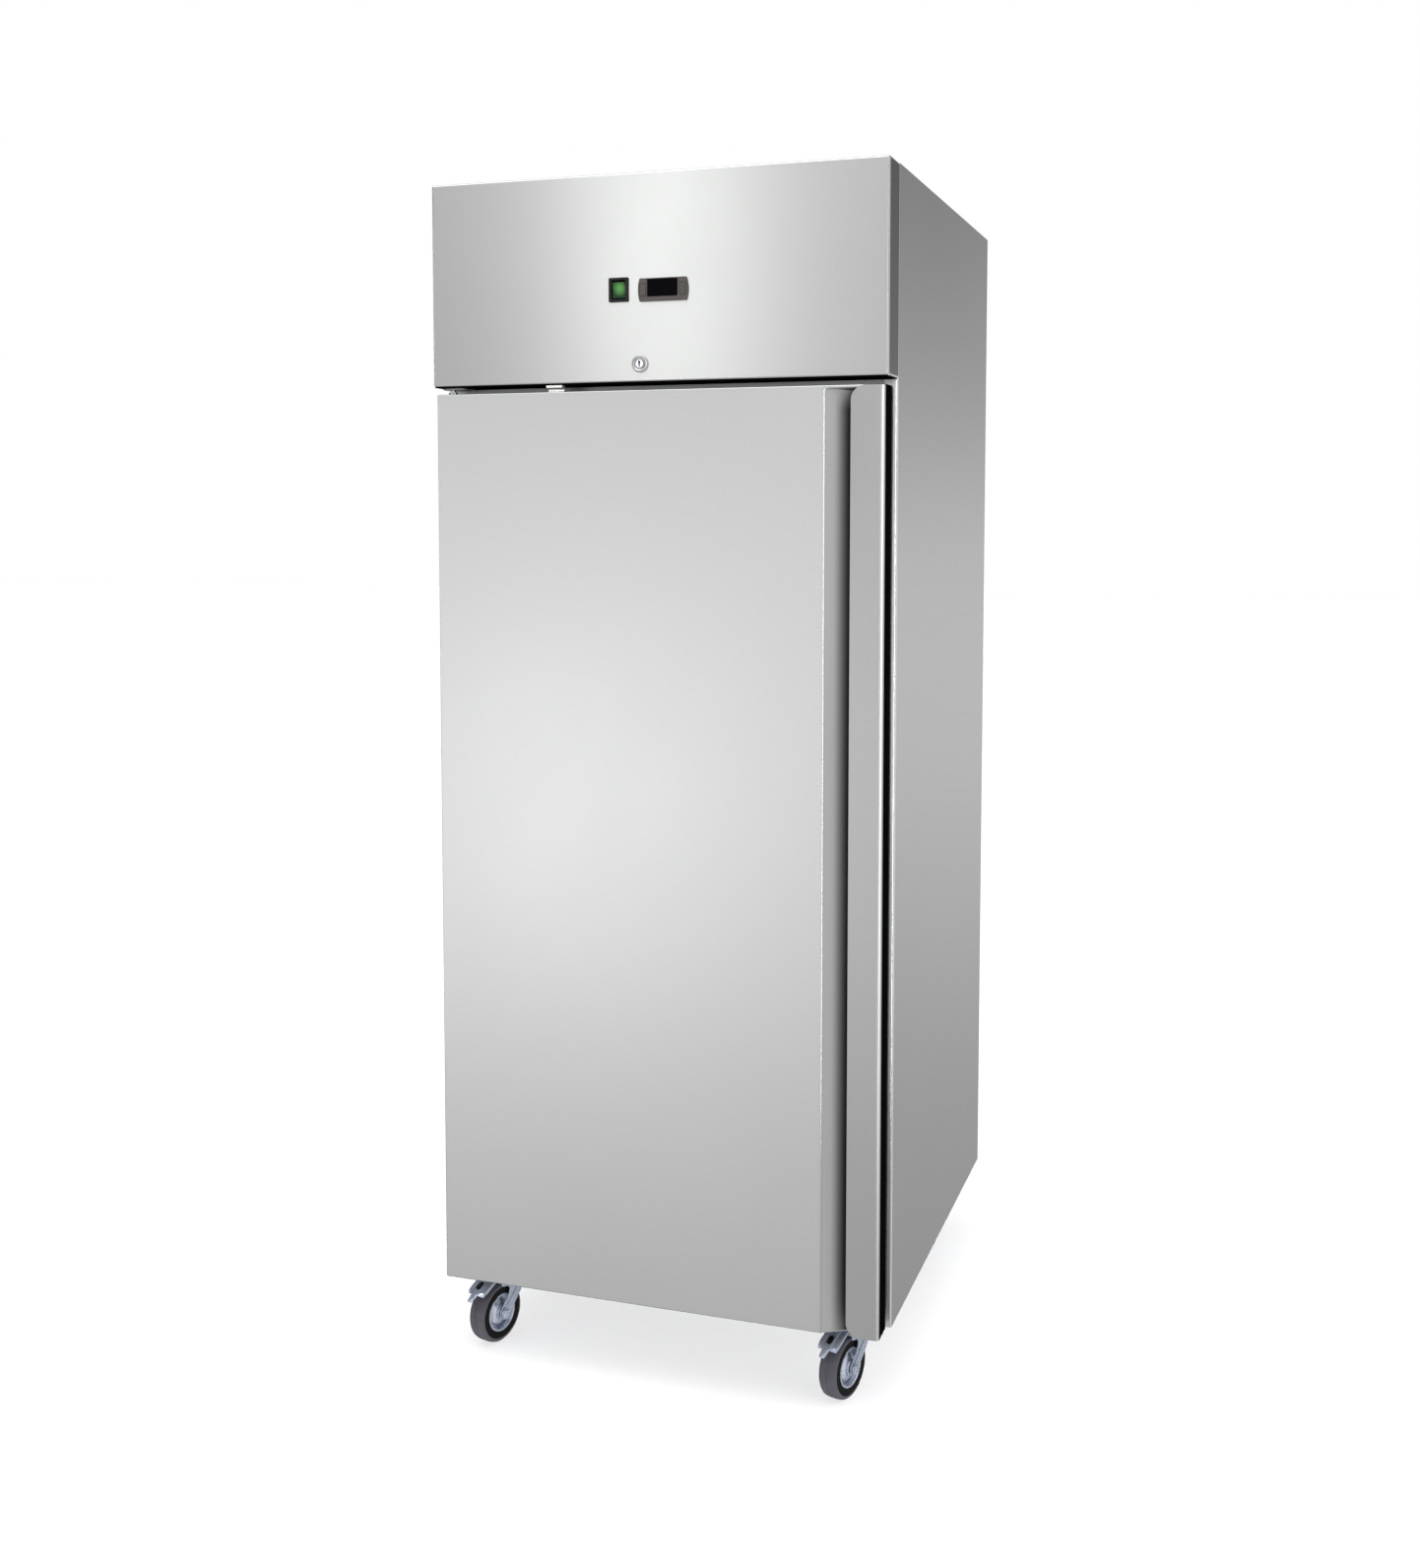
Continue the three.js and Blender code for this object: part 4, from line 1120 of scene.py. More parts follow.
def make_condenser_shroud():
    """A sheet shroud on the coil's fan side, with a rolled ring round the fan."""
    low, high = at("condenser_coil")
    fan = fan_axis("condenser_fan")
    bm = bmesh.new()
    add_prism(bm, "y", rectangle(low.x + 2, high.x - 2, fan.z - 122, high.z, 4.0, 4), high.y, high.y + 2)
    hole = tool_of(add_rod, "y", (fan.x, high.y, fan.z), 108, -5, 8, 56)
    bm = cut(bm, hole)
    add_turned(bm, "y", (fan.x, high.y, fan.z), [
        (108, 1), (108, 18), (109.5, 19.5), (111, 19.5), (109.6, 16), (109.6, 2.6), (112, 1),
    ], 56)
    piece("condenser_shroud", bm, ROOT, galvanized, limit=24)


def make_pipe():
    """The discharge pipe, bent up and over from the pot to the condenser coil."""
    pot_low, pot_high = at("compressor")
    coil_low, _ = at("condenser_coil")
    x, y = (pot_low.x + pot_high.x) / 2 + 82, (pot_low.y + pot_high.y) / 2
    route = [
        (x - 4, y - 20, 1690), (x + 8, y - 21, 1690.5), (x + 22, y - 24, 1697), (x + 32, y - 29, 1720),
        (x + 36, y - 44, 1768), (x + 38, y - 66, 1802), (x + 46, y - 90, 1818), (x + 60, y - 116, 1825),
        (coil_low.x - 44, -40, 1826), (coil_low.x - 28, -66, 1823), (coil_low.x - 16, -78, 1808),
        (coil_low.x - 8, -80, 1799), (coil_low.x + 2, -80, 1796),
    ]
    bm = bmesh.new()
    add_tube(bm, smooth_line(route, 6), 4.0, 14)
    piece("refrigerant_pipe", bm, ROOT, copper, limit=40)


make_fan("evaporator_fan", black_plastic, 5, 24)
make_fan("condenser_fan", aluminium, 5, 26)
make_evaporator_cover()
make_coil("evaporator_coil", pitch=5.0, rows=4, columns=5)
make_coil("condenser_coil", pitch=4.0, rows=9, columns=2)
make_motor("evaporator_fan_motor", "evaporator_fan", 30.0, 44, on_arm=True)
make_motor("condenser_fan_motor", "condenser_fan", 38.0, 62, on_arm=False)
make_lamp()
make_compressor()
make_condenser_shroud()
make_pipe()

# ---- controls in the head panel -----------------------------------------------------


def front_outline(low, high, grow, radius, steps):
    """A box's outline seen from the front, grown on every side, with round corners."""
    return rectangle(low.x - grow, high.x + grow, low.z - grow, high.z + grow, radius, steps)


def make_switch():
    """A black bezel with a deep window, round a lit rocker whose face is a shallow V."""
    low, high = at("power_switch_housing")
    x, z = (low.x + high.x) / 2, (low.z + high.z) / 2
    bm = bmesh.new()
    add_prism(bm, "y", front_outline(low, high, 0, 1.6, 4), low.y, FACE - 0.3)
    well = rectangle(x - 11.4, x + 11.4, z - 14.4, z + 14.4, 0.8, 3)
    bm = cut(bm, tool_of(add_prism, "y", well, FACE - 6, FACE + 5))
    piece("switch_bezel", bm, ROOT, black_plastic, ["power_switch_housing"],
          bevel=0.9, limit=40)
    body = bmesh.new()
    add_prism(body, "y", rectangle(x - 13.2, x + 13.2, z - 15.2, z + 15.2, 0.8, 3), FACE - 0.9, high.y)
    body = cut(body, tool_of(add_prism, "y", well, FACE - 6, FACE + 16))
    for dx in (-6, 6):
        add_box(body, (x + dx - 2.4, high.y - 1, z - 8), (x + dx + 2.4, high.y + 8, z - 7.2))
    piece("switch_body", body, ROOT, black_plastic, limit=30)
    tilt, half = math.radians(7), 13.2
    rock = bmesh.new()
    face = [(2, 1.5 - half), (-4.2, 1.0 - half), (-5.0, 1.6 - half), (-3.2, 0), (-5.0, half - 1.6),
            (-4.2, half - 1.0), (2, half - 1.5), (5, 4), (5, -4)]
    add_prism(rock, "x", face, -10.6, 10.6)
    green = lens(
        "green_lens", (x + 1.5, FACE - 1, z + 2.0), 12, (0.003, 0.035, 0.005), (0.08, 0.30, 0.06), 0.30
    )
    tilted = Matrix.Translation((x, FACE + 4, z)) @ Matrix.Rotation(tilt, 4, "X")
    piece("power_switch_rocker", rock, "switch_rocker", green, ["power_switch_rocker"],
          bevel=1.0, limit=20, matrix=tilted)


def make_controller():
    """A warm grey bezel with bowed ends, a glossy black window and two keys."""
    low, high = at("controller_housing")
    x, z = (low.x + high.x) / 2, (low.z + high.z) / 2
    window_low, window_high = at("controller_display")
    window_low.z += 0.5
    window_high.z -= 1.8
    half = (high.z - low.z) / 2 - 1.6
    side = (high.x - low.x) / 2
    bow = 2.6
    right = [(x + side - bow * share * share, z + half * share) for share in row(-1, 1, 11)]
    left = [(2 * x - a, 2 * z - b) for a, b in right]
    bm = bmesh.new()
    add_prism(bm, "y", right + left, low.y, FACE - 0.3)
    well = front_outline(window_low, window_high, 0.3, 1.2, 4)
    wells = [tool_of(add_prism, "y", well, FACE - 6, FACE - 2.2)]
    for key in ("left", "right"):
        well = front_outline(*at(f"controller_key_{key}"), 0.4, 1.2, 4)
        wells.append(tool_of(add_prism, "y", well, FACE - 6, FACE - 1.6))
    bm = cut(bm, *wells)
    piece("controller_bezel", bm, ROOT, grey_plastic, ["controller_housing"],
          bevel=0.7, limit=40)
    body = bmesh.new()
    add_prism(body, "y", rectangle(x - 35.5, x + 35.5, z - 14.5, z + 14.5, 1.2, 3), FACE - 0.9, high.y)
    for i in range(9):
        add_box(body, (x - 30 + i * 7, high.y - 1, z - 6), (x - 26 + i * 7, high.y + 3, z + 6))
    piece("controller_body", body, ROOT, black_plastic, bevel=0.6, limit=40)
    glass = bmesh.new()
    add_prism(glass, "y", front_outline(window_low, window_high, 0, 1.0, 4), window_low.y, window_high.y)
    piece("controller_display", glass, ROOT, dark_window, ["controller_display"], bevel=0.5)
    for key in ("left", "right"):
        node = f"controller_key_{key}"
        a, b = at(node)
        crown = bmesh.new()
        add_prism(crown, "y", front_outline(a, b, 0, 1.2, 4), a.y, b.y)
        piece(node, crown, f"key_{key}", grey_plastic, [node], bevel=0.7)


def make_lock():
    """A chrome collar with a dished ring, and a bright plug with a keyhole and a cam."""
    low, high = BARREL_LOW, BARREL_HIGH
    out = FACE - low.y
    bm = bmesh.new()
    add_turned(bm, "y", (LOCK_X, FACE, LOCK_Z), [
        (13, -0.3), (13, -2.2), (12.4, -3.4), (11.2, -out + 0.2), (10.4, -out), (9.4, -out + 0.5),
        (8.6, -out + 1.6), (7.9, -out + 1.2), (7.3, -out + 1.4), (7.3, high.y - FACE), (9.2, high.y - FACE),
        (9.2, -0.3),
    ], 56)
    piece("lock_barrel", bm, ROOT, chrome, ["lock_barrel"], limit=34)
    nut = bmesh.new()
    add_turned(nut, "y", (LOCK_X, FACE + 1.3, LOCK_Z), [(9.2, 0), (14, 0), (14, 4), (9.2, 4)], 6)
    piece("lock_nut", nut, ROOT, zinc, bevel=0.4)
    plug_low, plug_high = at("lock_plug")
    end = plug_high.y - FACE
    core = bmesh.new()
    add_turned(core, "y", (LOCK_X, FACE, LOCK_Z), [
        (0, -4), (6.0, -4), (6.6, -3.4), (6.6, end - 1), (6.0, end), (0, end),
    ], 40)
    teardrop = [(-1.0, -5.0), (1.0, -5.0), (1.3, 1.0)]
    for degrees in range(-30, 211, 30):
        turn = math.radians(degrees)
        teardrop.append((2.1 * math.cos(turn), 2.7 + 2.1 * math.sin(turn)))
    teardrop.append((-1.3, 1.0))
    keyway = [(LOCK_X + a, LOCK_Z + b) for a, b in teardrop]
    core = cut(core, tool_of(add_prism, "y", keyway, FACE - 6, FACE + 2))
    cam = fillet([
        (plug_low.x + 0.4, LOCK_Z - 7), (plug_high.x, LOCK_Z - 5), (plug_high.x, LOCK_Z + 5),
        (plug_low.x + 0.4, LOCK_Z + 7),
    ], 4.0)
    add_prism(core, "y", cam, FACE + 29, FACE + 32)
    piece("lock_plug", core, "lock_plug", chrome, ["lock_plug"], limit=34)
    shade = bmesh.new()
    add_rod(shade, "y", (LOCK_X, FACE, LOCK_Z), 5.6, 0.2, 2.6, 24)
    piece("lock_keyway_shade", shade, "lock_plug", black_profile, limit=34)


make_switch()
make_controller()
make_lock()

# ---- hinge brackets and door sensor -------------------------------------------------


def make_hinge(place):
    """A plate that carries the pin, a flange screwed to the frame, and at the top a washer on the door."""
    node = f"hinge_bracket_{place}"
    low, high = at(node)
    top = place == "top"
    plate = (high.z - 3.2, high.z) if top else (low.z, low.z + 3.2)
    flange = (low.z + 0.5, high.z) if top else (low.z, high.z - 0.5)
    bm = bmesh.new()
    points = fillet([(low.x, low.y), (high.x, low.y), (high.x, high.y), (low.x, high.y)], [13, 8, 0, 0])
    add_prism(bm, "z", points, *plate)
    add_prism(bm, "y", rectangle(low.x, high.x, *flange, 2.0, 3), high.y - 3, high.y)
    for x in (low.x + 10, high.x - 10):
        add_screw(bm, "y", (x, high.y - 3, sum(flange) / 2), 3.2, 1.6)
    piece(node, bm, ROOT, inner_steel, [node], bevel=0.5)
    pin = bmesh.new()
    add_turned(pin, "z", (PIVOT.x, PIVOT.y, 0), [
        (0, low.z), (3.9, low.z), (4.5, low.z + 0.8), (4.5, high.z - 0.8), (3.9, high.z), (0, high.z),
    ], 28)
    if top:
        washer = [(4.4, 0), (7.4, 0), (7.4, 4.6), (4.4, 4.6)]
        add_turned(pin, "z", (PIVOT.x, PIVOT.y, DOOR_HIGH.z + 0.4), washer, 28)
    piece(f"hinge_pin_{place}", pin, ROOT, chrome, limit=34)


def make_sensor(node, body):
    """A small white block with softened edges and two fixing dimples."""
    low, high = at(node)
    bm = bmesh.new()
    add_prism(bm, "z", rectangle(low.x, high.x, low.y, high.y, 2.2, 4), low.z, high.z)
    middle = (low.y + high.y) / 2
    dimples = [
        tool_of(add_rod, "z", (x, middle, 0), 1.6, low.z - 1, low.z + 1.4, 20)
        for x in (low.x + 5, high.x - 5)
    ]
    bm = cut(bm, *dimples)
    piece(node, bm, body, white_plastic, [node], bevel=0.6, limit=40)


for place in ("top", "bottom"):
    make_hinge(place)
make_sensor("door_sensor_switch", ROOT)
make_sensor("door_sensor_magnet", "door")

# ---- door ---------------------------------------------------------------------------

CHANNEL_LEFT, CHANNEL_RIGHT, CHANNEL_DEPTH = 273.0, 318.0, 25.8
CHANNEL_WALL = 352.0
LIP_LEFT, LIP_CORNER, LIP_THICK, LIP_ROUND = 313.0, 22.0, 1.6, 6.5


def make_door_skin():
    """The face with its folded edges and the finger channel, closed over at the top and the bottom."""
    # Painted shadow: the door steel is darkened in the channel's deep end, next to the lip, where shade
    # falls.
    paint_lip_shadow(door_steel, CHANNEL_LEFT + 14, CHANNEL_RIGHT - 9, DOOR_HIGH.z - 6, 30)
    low, high = DOOR_LOW, DOOR_HIGH
    rear = FACE + 11
    deep = FACE + 33
    end = 5.0
    block = [
        (low.x, rear), (low.x, FACE), (CHANNEL_LEFT, FACE), (CHANNEL_WALL + 5, FACE + 0.5),
        (CHANNEL_WALL + 5, deep), (CHANNEL_RIGHT - 18, deep), (CHANNEL_LEFT - 30, rear),
    ]
    notch = [
        (CHANNEL_LEFT - 8.7, FACE - 5), (CHANNEL_LEFT, FACE), (CHANNEL_RIGHT, FACE + CHANNEL_DEPTH),
        (CHANNEL_WALL, FACE + CHANNEL_DEPTH), (CHANNEL_WALL, FACE - 5),
    ]
    bm = bmesh.new()
    add_prism(bm, "z", block, low.z, high.z)
    bm = cut(bm, tool_of(add_prism, "z", notch, low.z - end, high.z - end))
    made = piece(
        "door_skin", bm, "door", door_steel, ["door_skin"],
        bevel=2.2, segments=4, limit=24,
    )
    # The bevelled folds take the smoother, lighter steel; the lighter colour is a painted highlight.
    made.data.materials.append(highlit_fold_steel)
    made.modifiers["edges"].material = 1


def make_door_lip():
    """The handle lip: a hemmed strip over the channel, with round free corners and a rolled outer edge."""
    low, high = DOOR_LOW.z + 0.8, DOOR_HIGH.z - 0.8
    roll = at("door_handle")[1].x - LIP_ROUND
    flat = roll + LIP_ROUND * math.pi / 2
    bm = bmesh.new()
    corners = [(LIP_LEFT, low), (flat, low), (flat, high), (LIP_LEFT, high)]
    strip = fillet(corners, [LIP_CORNER, 0, 0, LIP_CORNER], steps=12)
    add_prism(bm, "y", strip, FACE, FACE + LIP_THICK)

    def is_rim(edge):
        """On the strip's front or back outline, but not where it is to be rolled."""
        one, two = (v.co for v in edge.verts)
        free = all(c.x < flat - 1 or abs(c.z - low) < 1 or abs(c.z - high) < 1 for c in (one, two))
        rolled = all(abs(c.x - flat) < 1e-3 for c in (one, two))
        return free and not rolled and abs(one.y - two.y) < 1e-4

    round_edges(bm, [edge for edge in bm.edges if is_rim(edge)], 0.7, 3)
    for x in row(roll, flat, 10)[:-1]:
        everything = bm.verts[:] + bm.edges[:] + bm.faces[:]
        bmesh.ops.bisect_plane(bm, geom=everything, plane_co=(x, 0, 0), plane_no=(1, 0, 0))
    for v in bm.verts:
        if v.co.x > roll:
            angle = (v.co.x - roll) / LIP_ROUND
            reach = LIP_ROUND - (v.co.y - FACE)
            v.co.x = roll + reach * math.sin(angle)
            v.co.y = FACE + LIP_ROUND - reach * math.cos(angle)
    # The lip takes the darker copy of the steel, which paints shade on it.
    piece("door_handle_lip", bm, "door", shaded_lip_steel, ["door_handle"], limit=30)


def make_door_edges():
    """The black profile round the door, with shallow grooves, pin bores and a slot for the lock cam."""
    low, high = at("door_edge_frame")
    front, rear = FACE + 11.3, high.y
    bm = bmesh.new()
    section = [
        (0.0, front), (0.0, front + 9), (1.0, front + 9.8), (1.0, front + 12.2), (0.0, front + 13),
        (0.0, front + 24), (1.0, front + 24.8), (1.0, front + 27.2), (0.0, front + 28), (0.0, rear - 1),
        (1.0, rear), (10.5, rear), (10.5, front),
    ]
    add_loft(bm, ring_loops(low.x, high.x, low.z, high.z, section), cap=False, closed=True)
    bores = [tool_of(add_rod, "z", (PIVOT.x, PIVOT.y, z), 5.4, -14, 14, 28) for z in (low.z, high.z)]
    slot = tool_of(
        add_box, (LOCK_X - 9, FACE + 26, high.z - 14), (LOCK_X + 42, FACE + 36, high.z + 5)
    )
    clearance = tool_of(
        add_box, (CHANNEL_LEFT - 34, front - 2, low.z - 5), (CHANNEL_WALL + 5.3, FACE + 33.3, high.z + 5)
    )
    bm = cut(bm, *bores, slot, clearance)
    backing = rectangle(CHANNEL_WALL + 5.4, high.x, FACE + LIP_ROUND + 0.2, front + 2)
    add_prism(bm, "z", backing, low.z, high.z)
    piece("door_edge_frame", bm, "door", black_profile, ["door_edge_frame"], limit=24)


def make_door_inner_panel():
    """The inner sheet: a flat rim for the gasket and a shallow pan pressed out inside it."""
    low, high = at("door_inner_panel")
    bm = bmesh.new()
    section = [(0, low.y), (0, high.y - 0.4), (0.4, high.y)]
    loops = ring_loops(low.x, high.x, low.z, high.z, section, 3.0, 4)
    pan = [(34, high.y), (36, high.y + 0.6), (40, high.y + 4.2), (43, high.y + 5.0), (70, high.y + 5.0),
           (73, high.y + 4.4), (76, high.y + 3.0), (80, high.y + 2.6)]
    for inset, y in pan:
        loops += ring_loops(low.x, high.x, low.z, high.z, [(inset, y)], inset + 18.0, 4)
    add_loft(bm, loops)
    piece("door_inner_panel", bm, "door", inner_steel, ["door_inner_panel"], limit=24)


def make_gasket():
    """A magnetic gasket: a foot, a bellows and a magnet strip, mitred at the corners."""
    low, high = at("door_gasket")
    y0, y1 = low.y, high.y
    section = [
        (2, y0), (1, y0 + 1), (3, y0 + 2.2), (1.2, y0 + 3.6), (3.2, y0 + 4.8), (0.4, y0 + 6.2), (0, y0 + 8),
        (0.8, y1 - 0.5), (2.4, y1), (15.5, y1), (17, y1 - 0.6), (17.4, y0 + 7.4), (16, y0 + 6),
        (18.8, y0 + 4.6),
        (17, y0 + 3.4), (19.6, y0 + 2), (20, y0 + 1), (19, y0),
    ]
    bm = bmesh.new()
    add_loft(bm, ring_loops(low.x, high.x, low.z, high.z, section), cap=False, closed=True)
    piece("door_gasket", bm, "door", gasket_rubber, ["door_gasket"], limit=50)


make_door_skin()
make_door_lip()
make_door_edges()
make_door_inner_panel()
make_gasket()
keep("door_foam", foam)

# ---- casters, drawn in their own frame: the axle along X, the trail along -Y --------

WHEEL_RADIUS, TRAIL = 50.0, 33.0


def caster_matrix(place):
    """From a caster's own frame to the cabinet's: under its swivel, turned to its wheel's axle."""
    centre = pivot(f"swivel_{place}_turn")
    axle = joint_of(f"wheel_{place}_roll")["axis"]
    turn = Matrix.Rotation(math.atan2(axle[1], axle[0]), 4, "Z")
    return Matrix.Translation((centre.x, centre.y, 0)) @ turn


def make_caster_plate(place, matrix):
    """The fixing plate with its four bolts, and the ball race under it."""
    node = f"caster_plate_{place}"
    low, high = at(node)
    bm = bmesh.new()
    add_prism(bm, "z", rectangle(-34, 34, -37.5, 37.5, 7.0, 5), high.z - 3, high.z)
    for x in (-25, 25):
        for y in (-28, 28):
            add_turned(bm, "z", (x, y, high.z - 8), [(0, 0), (5.4, 0), (6, 0.6), (6, 5.2), (0, 5.2)], 6)
    add_turned(bm, "z", (0, 0, 0), [
        (0, high.z - 2), (23, high.z - 2), (24, high.z - 4), (22, high.z - 6.5), (22, low.z + 1.5),
        (20.5, low.z + 0.3), (0, low.z + 0.3),
    ], 40)
    unturned = Matrix.Translation(matrix.translation)
    piece(node, bm, ROOT, zinc, [node], bevel=0.5, limit=40, matrix=unturned)


def make_caster_fork(place, matrix, braked):
    """A pressed fork: a domed head, and two legs that taper from the head to the axle."""
    bm = bmesh.new()
    add_turned(bm, "z", (0, 0, 0), [
        (0, 113.2), (20, 113.2), (24, 112), (26.5, 109), (26.5, 105.5), (24.5, 103.5), (0, 103.5),
    ], 44)
    rear = -40.0 if braked else -24.0
    top = [(-22.4, rear), (22.4, rear), (22.4, 20.0), (14, 25.0), (-14, 25.0), (-22.4, 20.0)]
    add_prism(bm, "z", fillet(top, 3.0), 103.6, 107.4)
    leg = fillet([
        (23, 107), (23, 92), (-22, 44), (-TRAIL, 38), (-43, 44), (-43.5, 56), (-24, 76), (-16, 92),
        (rear + 1, 97 if braked else 99), (rear + 1, 107),
    ], [1.5, 8, 6, 6, 7, 7, 14, 8, 3, 2], steps=6)
    rib = fillet([
        (21, 104), (21, 93), (-22, 47.5), (-TRAIL, 42), (-39, 50), (-30, 62), (1, 90), (1, 104),
    ], [2, 6, 5, 5, 5, 8, 6, 2], steps=6)
    for sign in (-1, 1):
        for sheet, inner, outer in ((leg, 19.6, 22.0), (rib, 21.8, 23.6)):
            add_prism(bm, "x", sheet, *sorted((sign * inner, sign * outer)))
    if braked:
        add_rod(bm, "x", (0, -34, 108), 3, -22.6, 22.6, 20)
    body = f"swivel_{place}"
    piece(f"caster_fork_{place}", bm, body, zinc, [f"caster_fork_{place}"], bevel=0.8, limit=35,
          matrix=matrix)
    bolt = bmesh.new()
    axle = (0, -TRAIL, WHEEL_RADIUS)
    add_rod(bolt, "x", axle, 5, -26.8, 26.8, 24)
    for sign in (-1, 1):
        add_rod(bolt, "x", axle, 9.6, sign * 23.4, sign * 24.6, 32)
        head = [(0, 24.6), (7.4, 24.6), (7.4, 27.2), (6.6, 27.9), (0, 27.9)]
        add_turned(bolt, "x", axle, [(r, sign * h) for r, h in head], 6)
    piece(f"caster_axle_{place}", bolt, body, rim_zinc, bevel=0.35, limit=40, matrix=matrix)


def mirrored(profile):
    """A half profile of (radius, height), closed by its mirror image."""
    return profile + [(r, -h) for r, h in reversed(profile)]


def make_caster_wheel(place, matrix):
    """A grey tread on a black-walled tyre, a pressed rim with a dished disc, and the hub."""
    body = f"wheel_{place}"
    node = f"caster_wheel_{place}"
    hub = matrix @ Matrix.Translation((0, -TRAIL, WHEEL_RADIUS))
    tread = bmesh.new()
    add_turned(tread, "x", (0, 0, 0), mirrored([
        (41, 15.0), (44.2, 15.6), (46.8, 14.6), (48.8, 12.4), (49.7, 9.2), (50, 5), (50, 0.8), (49.5, 0.6),
    ]), 72)
    piece(f"caster_tread_{place}", tread, body, tread_rubber, [node], limit=40, matrix=hub)
    wall = bmesh.new()
    add_turned(wall, "x", (0, 0, 0), mirrored([
        (30.5, 12.0), (31.2, 14.6), (33.5, 15.6), (37, 15.2), (39.6, 15.9), (42.2, 15.9), (43.4, 15.0),
        (43.4, 0),
    ]), 64)
    piece(f"caster_sidewall_{place}", wall, body, wall_rubber, limit=40, matrix=hub)
    rim = bmesh.new()
    add_turned(rim, "x", (0, 0, 0), mirrored([
        (7.2, 17.6), (11.4, 17.6), (12.4, 16.8), (13.2, 13.6), (16.5, 12.4), (20.6, 10.4), (22.2, 8.6),
        (22.8, 3.0), (25.8, 3.0), (26.6, 11.8), (27.6, 14.8), (29.2, 15.9), (30.8, 15.9), (31.6, 14.9),
        (31.4, 12), (30.6, 0),
    ]), 64)
    piece(f"caster_rim_{place}", rim, body, rim_zinc, limit=34, matrix=hub)


def make_caster_brake(place, matrix):
    """A pressed pedal: a hood with side flanges and two ribs, narrowing to a tongue."""
    node = f"caster_brake_{place}"
    stations = [  # y, z, half width, flange height
        (-30, 113.2, 16.4, 5.0), (-44, 113.4, 16.6, 5.0), (-60, 109.2, 17.2, 7.6), (-72, 103.6, 17.4, 7.6),
        (-80, 99.6, 16.2, 7.6), (-84.5, 97.2, 6.4, 2.4), (-97, 89.6, 4.8, 2.4),
    ]
    loops = []
    for y, z, wide, flange in stations:
        over = [(-wide, z - flange), (-wide, z - 2), (-wide + 2.4, z)]
        under = [(wide - 2, z - flange), (wide - 2, z - 2.6)]
        section = over + [(-x, h) for x, h in reversed(over)]
        section += under + [(-x, h) for x, h in reversed(under)]
        loops.append([(x, y, h) for x, h in section])
    bm = bmesh.new()
    add_loft(bm, loops)
    rib = [(-46, 113.0), (-62, 108.6), (-76, 102.0), (-86, 97.0)]
    for x in (-7, 7):
        add_tube(bm, smooth_line([(x, y, z) for y, z in rib], 3), 1.7, 8)
    piece(node, bm, f"brake_{place}", zinc, [node], bevel=0.7, limit=35, matrix=matrix)
    slot = bmesh.new()
    add_prism(slot, "z", rectangle(-4.2, 4.2, -8, 8, 4.0, 5), -0.5, 0.6)
    lean = Matrix.Translation((0, -70, 105.0)) @ Matrix.Rotation(math.radians(26), 4, "X")
    piece(f"{node}_grip", slot, f"brake_{place}", black_plastic, matrix=matrix @ lean)


for place in ("front_left", "front_right", "rear_left", "rear_right"):
    braked = place.startswith("front")
    placed = caster_matrix(place)
    make_caster_plate(place, placed)
    make_caster_fork(place, placed, braked)
    make_caster_wheel(place, placed)
    if braked:
        make_caster_brake(place, placed)

# ---- studio -------------------------------------------------------------------------


def make_floor():
    """A pale painted floor that mirrors nothing."""
    bpy.ops.mesh.primitive_plane_add(size=60, location=(0, 0, 0))
    floor = bpy.context.object
    floor.name = "floor"
    material, _, shader = finish("floor_paint", (0.93, 0.93, 0.93), 0.8, 0.0, 4, 0.004, 0.02, bump=0.02)
    shader.inputs["Specular IOR Level"].default_value = 0.1
    floor.data.materials.append(material)
    floor.visible_glossy = False


AROUND = [  # degrees from the front, to the right, and how bright the studio is there
    (-180, 0.50), (-140, 0.55), (-105, 0.30), (-75, 0.08), (-48, 0.40), (-30, 0.55), (0, 0.58), (25, 0.48),
    (45, 0.34), (62, 0.76), (80, 0.98), (110, 0.72), (140, 0.57), (180, 0.50),
]
HEIGHTS_AHEAD = [  # the sine of the height above the horizon, and the brightness there
    (-1.0, 0.75), (-0.4, 0.84), (-0.1, 1.0), (0.3, 1.0), (1.0, 1.2),
]
HEIGHTS_BEHIND = [
    (-1.0, 0.45), (-0.5, 0.52), (-0.3, 0.72), (-0.13, 1.12), (-0.02, 1.14), (0.08, 0.66), (0.24, 0.34),
    (1.0, 0.6),
]


def greys(levels, span):
    """Ramp stops for levels that run from -span to span."""
    return [((place + span) / (2 * span), (level,) * 3) for place, level in levels]


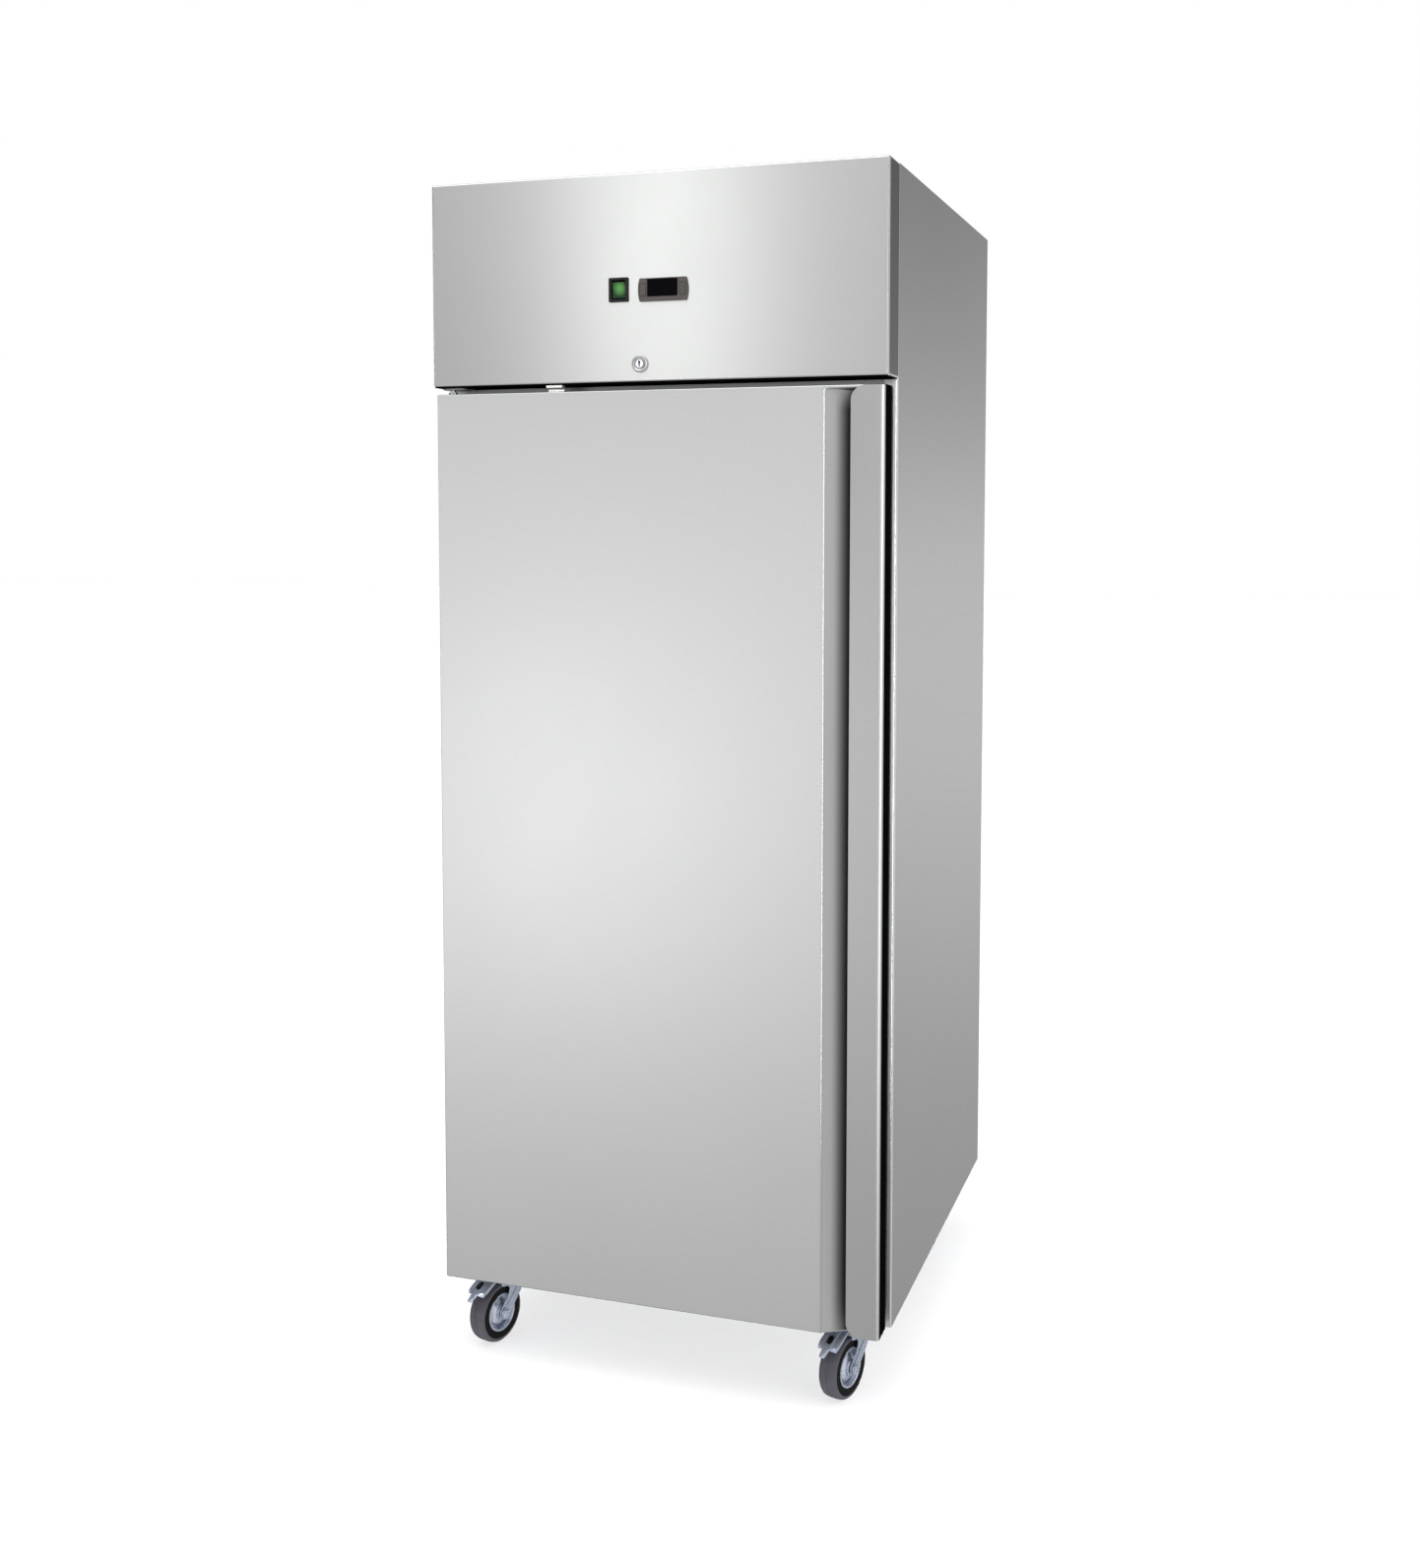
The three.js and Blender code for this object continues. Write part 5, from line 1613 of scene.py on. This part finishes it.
def make_world():
    """White to the camera. To the surfaces: dark at the left, bright at the right, dimmer behind."""
    world = bpy.data.worlds.new("studio")
    world.use_nodes = True
    SCENE.world = world
    nodes = Nodes(world.node_tree)
    x, y, z = nodes.split("Generated")
    turn = nodes.math("ARCTAN2", x, nodes.math("MULTIPLY", y, -1.0))
    round_about = nodes.tinted(nodes.mapped(turn, 0, 1, -math.pi, math.pi), greys(AROUND, 180))
    height = nodes.mapped(z, 0, 1, -1, 1)
    ahead = nodes.tinted(height, greys(HEIGHTS_AHEAD, 1))
    behind = nodes.tinted(height, greys(HEIGHTS_BEHIND, 1))
    profile = nodes.mixed(nodes.mapped(y, 0, 1, 0.1, 0.7), ahead, behind)
    mixed = nodes.mixed(1.0, round_about, profile, "MULTIPLY")
    around = nodes.add("ShaderNodeBackground")
    nodes.link(mixed, around.inputs["Color"])
    seen = nodes.add("ShaderNodeBackground", Color=(1, 1, 1, 1), Strength=1.0)
    path = nodes.add("ShaderNodeLightPath")
    choice = nodes.add("ShaderNodeMixShader")
    nodes.link(path.outputs["Is Camera Ray"], choice.inputs["Fac"])
    nodes.link(around.outputs["Background"], choice.inputs[1])
    nodes.link(seen.outputs["Background"], choice.inputs[2])
    output = nodes.add("ShaderNodeOutputWorld")
    nodes.link(choice.outputs["Shader"], output.inputs["Surface"])


def light_only(light, names):
    """Limits a light to the named objects."""
    receivers = bpy.data.collections.new(f"{light.name}_receivers")
    for name in names:
        receivers.objects.link(bpy.data.objects[name])
    light.light_linking.receiver_collection = receivers


def make_light(name, place, target, width, height, power, lights=None, shape="RECTANGLE"):
    """A softbox that the camera doesn't see, aimed at target. lights limits what it lights."""
    data = bpy.data.lights.new(name, "AREA")
    data.shape = shape
    data.size = width
    data.size_y = height
    data.energy = power
    light = bpy.data.objects.new(name, data)
    light.location = place
    light.rotation_euler = (Vector(target) - Vector(place)).to_track_quat("-Z", "Y").to_euler()
    light.visible_camera = False
    SCENE.collection.objects.link(light)
    if lights:
        light_only(light, lights)


def make_floor_wash():
    """An even light on the floor alone, so that it reads white with only a soft shadow."""
    data = bpy.data.lights.new("floor_wash", "SUN")
    data.energy = 2.1
    data.use_shadow = False
    wash = bpy.data.objects.new("floor_wash", data)
    SCENE.collection.objects.link(wash)
    light_only(wash, ["floor"])


DOOR, LIP, HEAD = "door_skin_detail", "door_handle_lip", "head_panel_detail"
DOOR_MIDDLE, HEAD_MIDDLE = (-0.1, -0.41, 0.95), (-0.03, -0.41, 1.74)
HEAD_LAMP = (-0.90, -2.92, 2.12)
CASTER_STEEL = ("caster_axle_{}", "caster_rim_{}", "caster_fork_{}_detail", "caster_brake_{}_detail",
                "caster_plate_{}_detail")

make_floor()
make_world()
make_light("overhead", (-0.6, -0.8, 4.2), (0, 0, 0), 3.4, 3.4, 40)
make_floor_wash()
make_light("door_fill", (-1.7, -3.2, 0.95), DOOR_MIDDLE, 3.0, 3.0, 5.5, [DOOR])
make_light("door_glow", (-1.15, -2.92, 0.50), DOOR_MIDDLE, 0.7, 0.9, 4.6, [DOOR, LIP], shape="ELLIPSE")
for name, place in (("edge_strip_right", (0.75, -2.6, 1.0)), ("edge_strip_left", (-2.6, -1.75, 1.0))):
    make_light(name, place, (0.0, -0.41, 1.0), 0.16, 2.6, 4.5, [DOOR, LIP, HEAD])
make_light("caster_light", (-1.0, -2.4, 0.45), (0, -0.32, 0.08), 1.0, 0.8, 22,
           [name.format(side) for name in CASTER_STEEL for side in ("front_left", "front_right")])
make_light("sensor_light", (-0.5, -2.4, 1.35), (-0.17, -0.39, 1.577), 0.4, 0.4, 26,
           ["door_sensor_switch_detail", "door_sensor_magnet_detail"])
make_light("head_strip", HEAD_LAMP, HEAD_MIDDLE, 0.36, 1.2, 3.8, [HEAD])
make_light("lip_strip", (2.3, -1.7, 1.0), (0.36, -0.41, 0.85), 1.9, 2.6, 28.0, [LIP])
make_light("fold_strip", (0.55, -2.6, 1.0), (0.37, -0.35, 0.95), 0.16, 2.6, 26.0, ["side_panel_right_detail"])
make_light("lock_strip", HEAD_LAMP, HEAD_MIDDLE, 0.36, 1.2, 1.5, ["lock_plug_detail", "lock_barrel_detail"])

SCENE.view_settings.view_transform = "Standard"
SCENE.view_settings.look = "None"
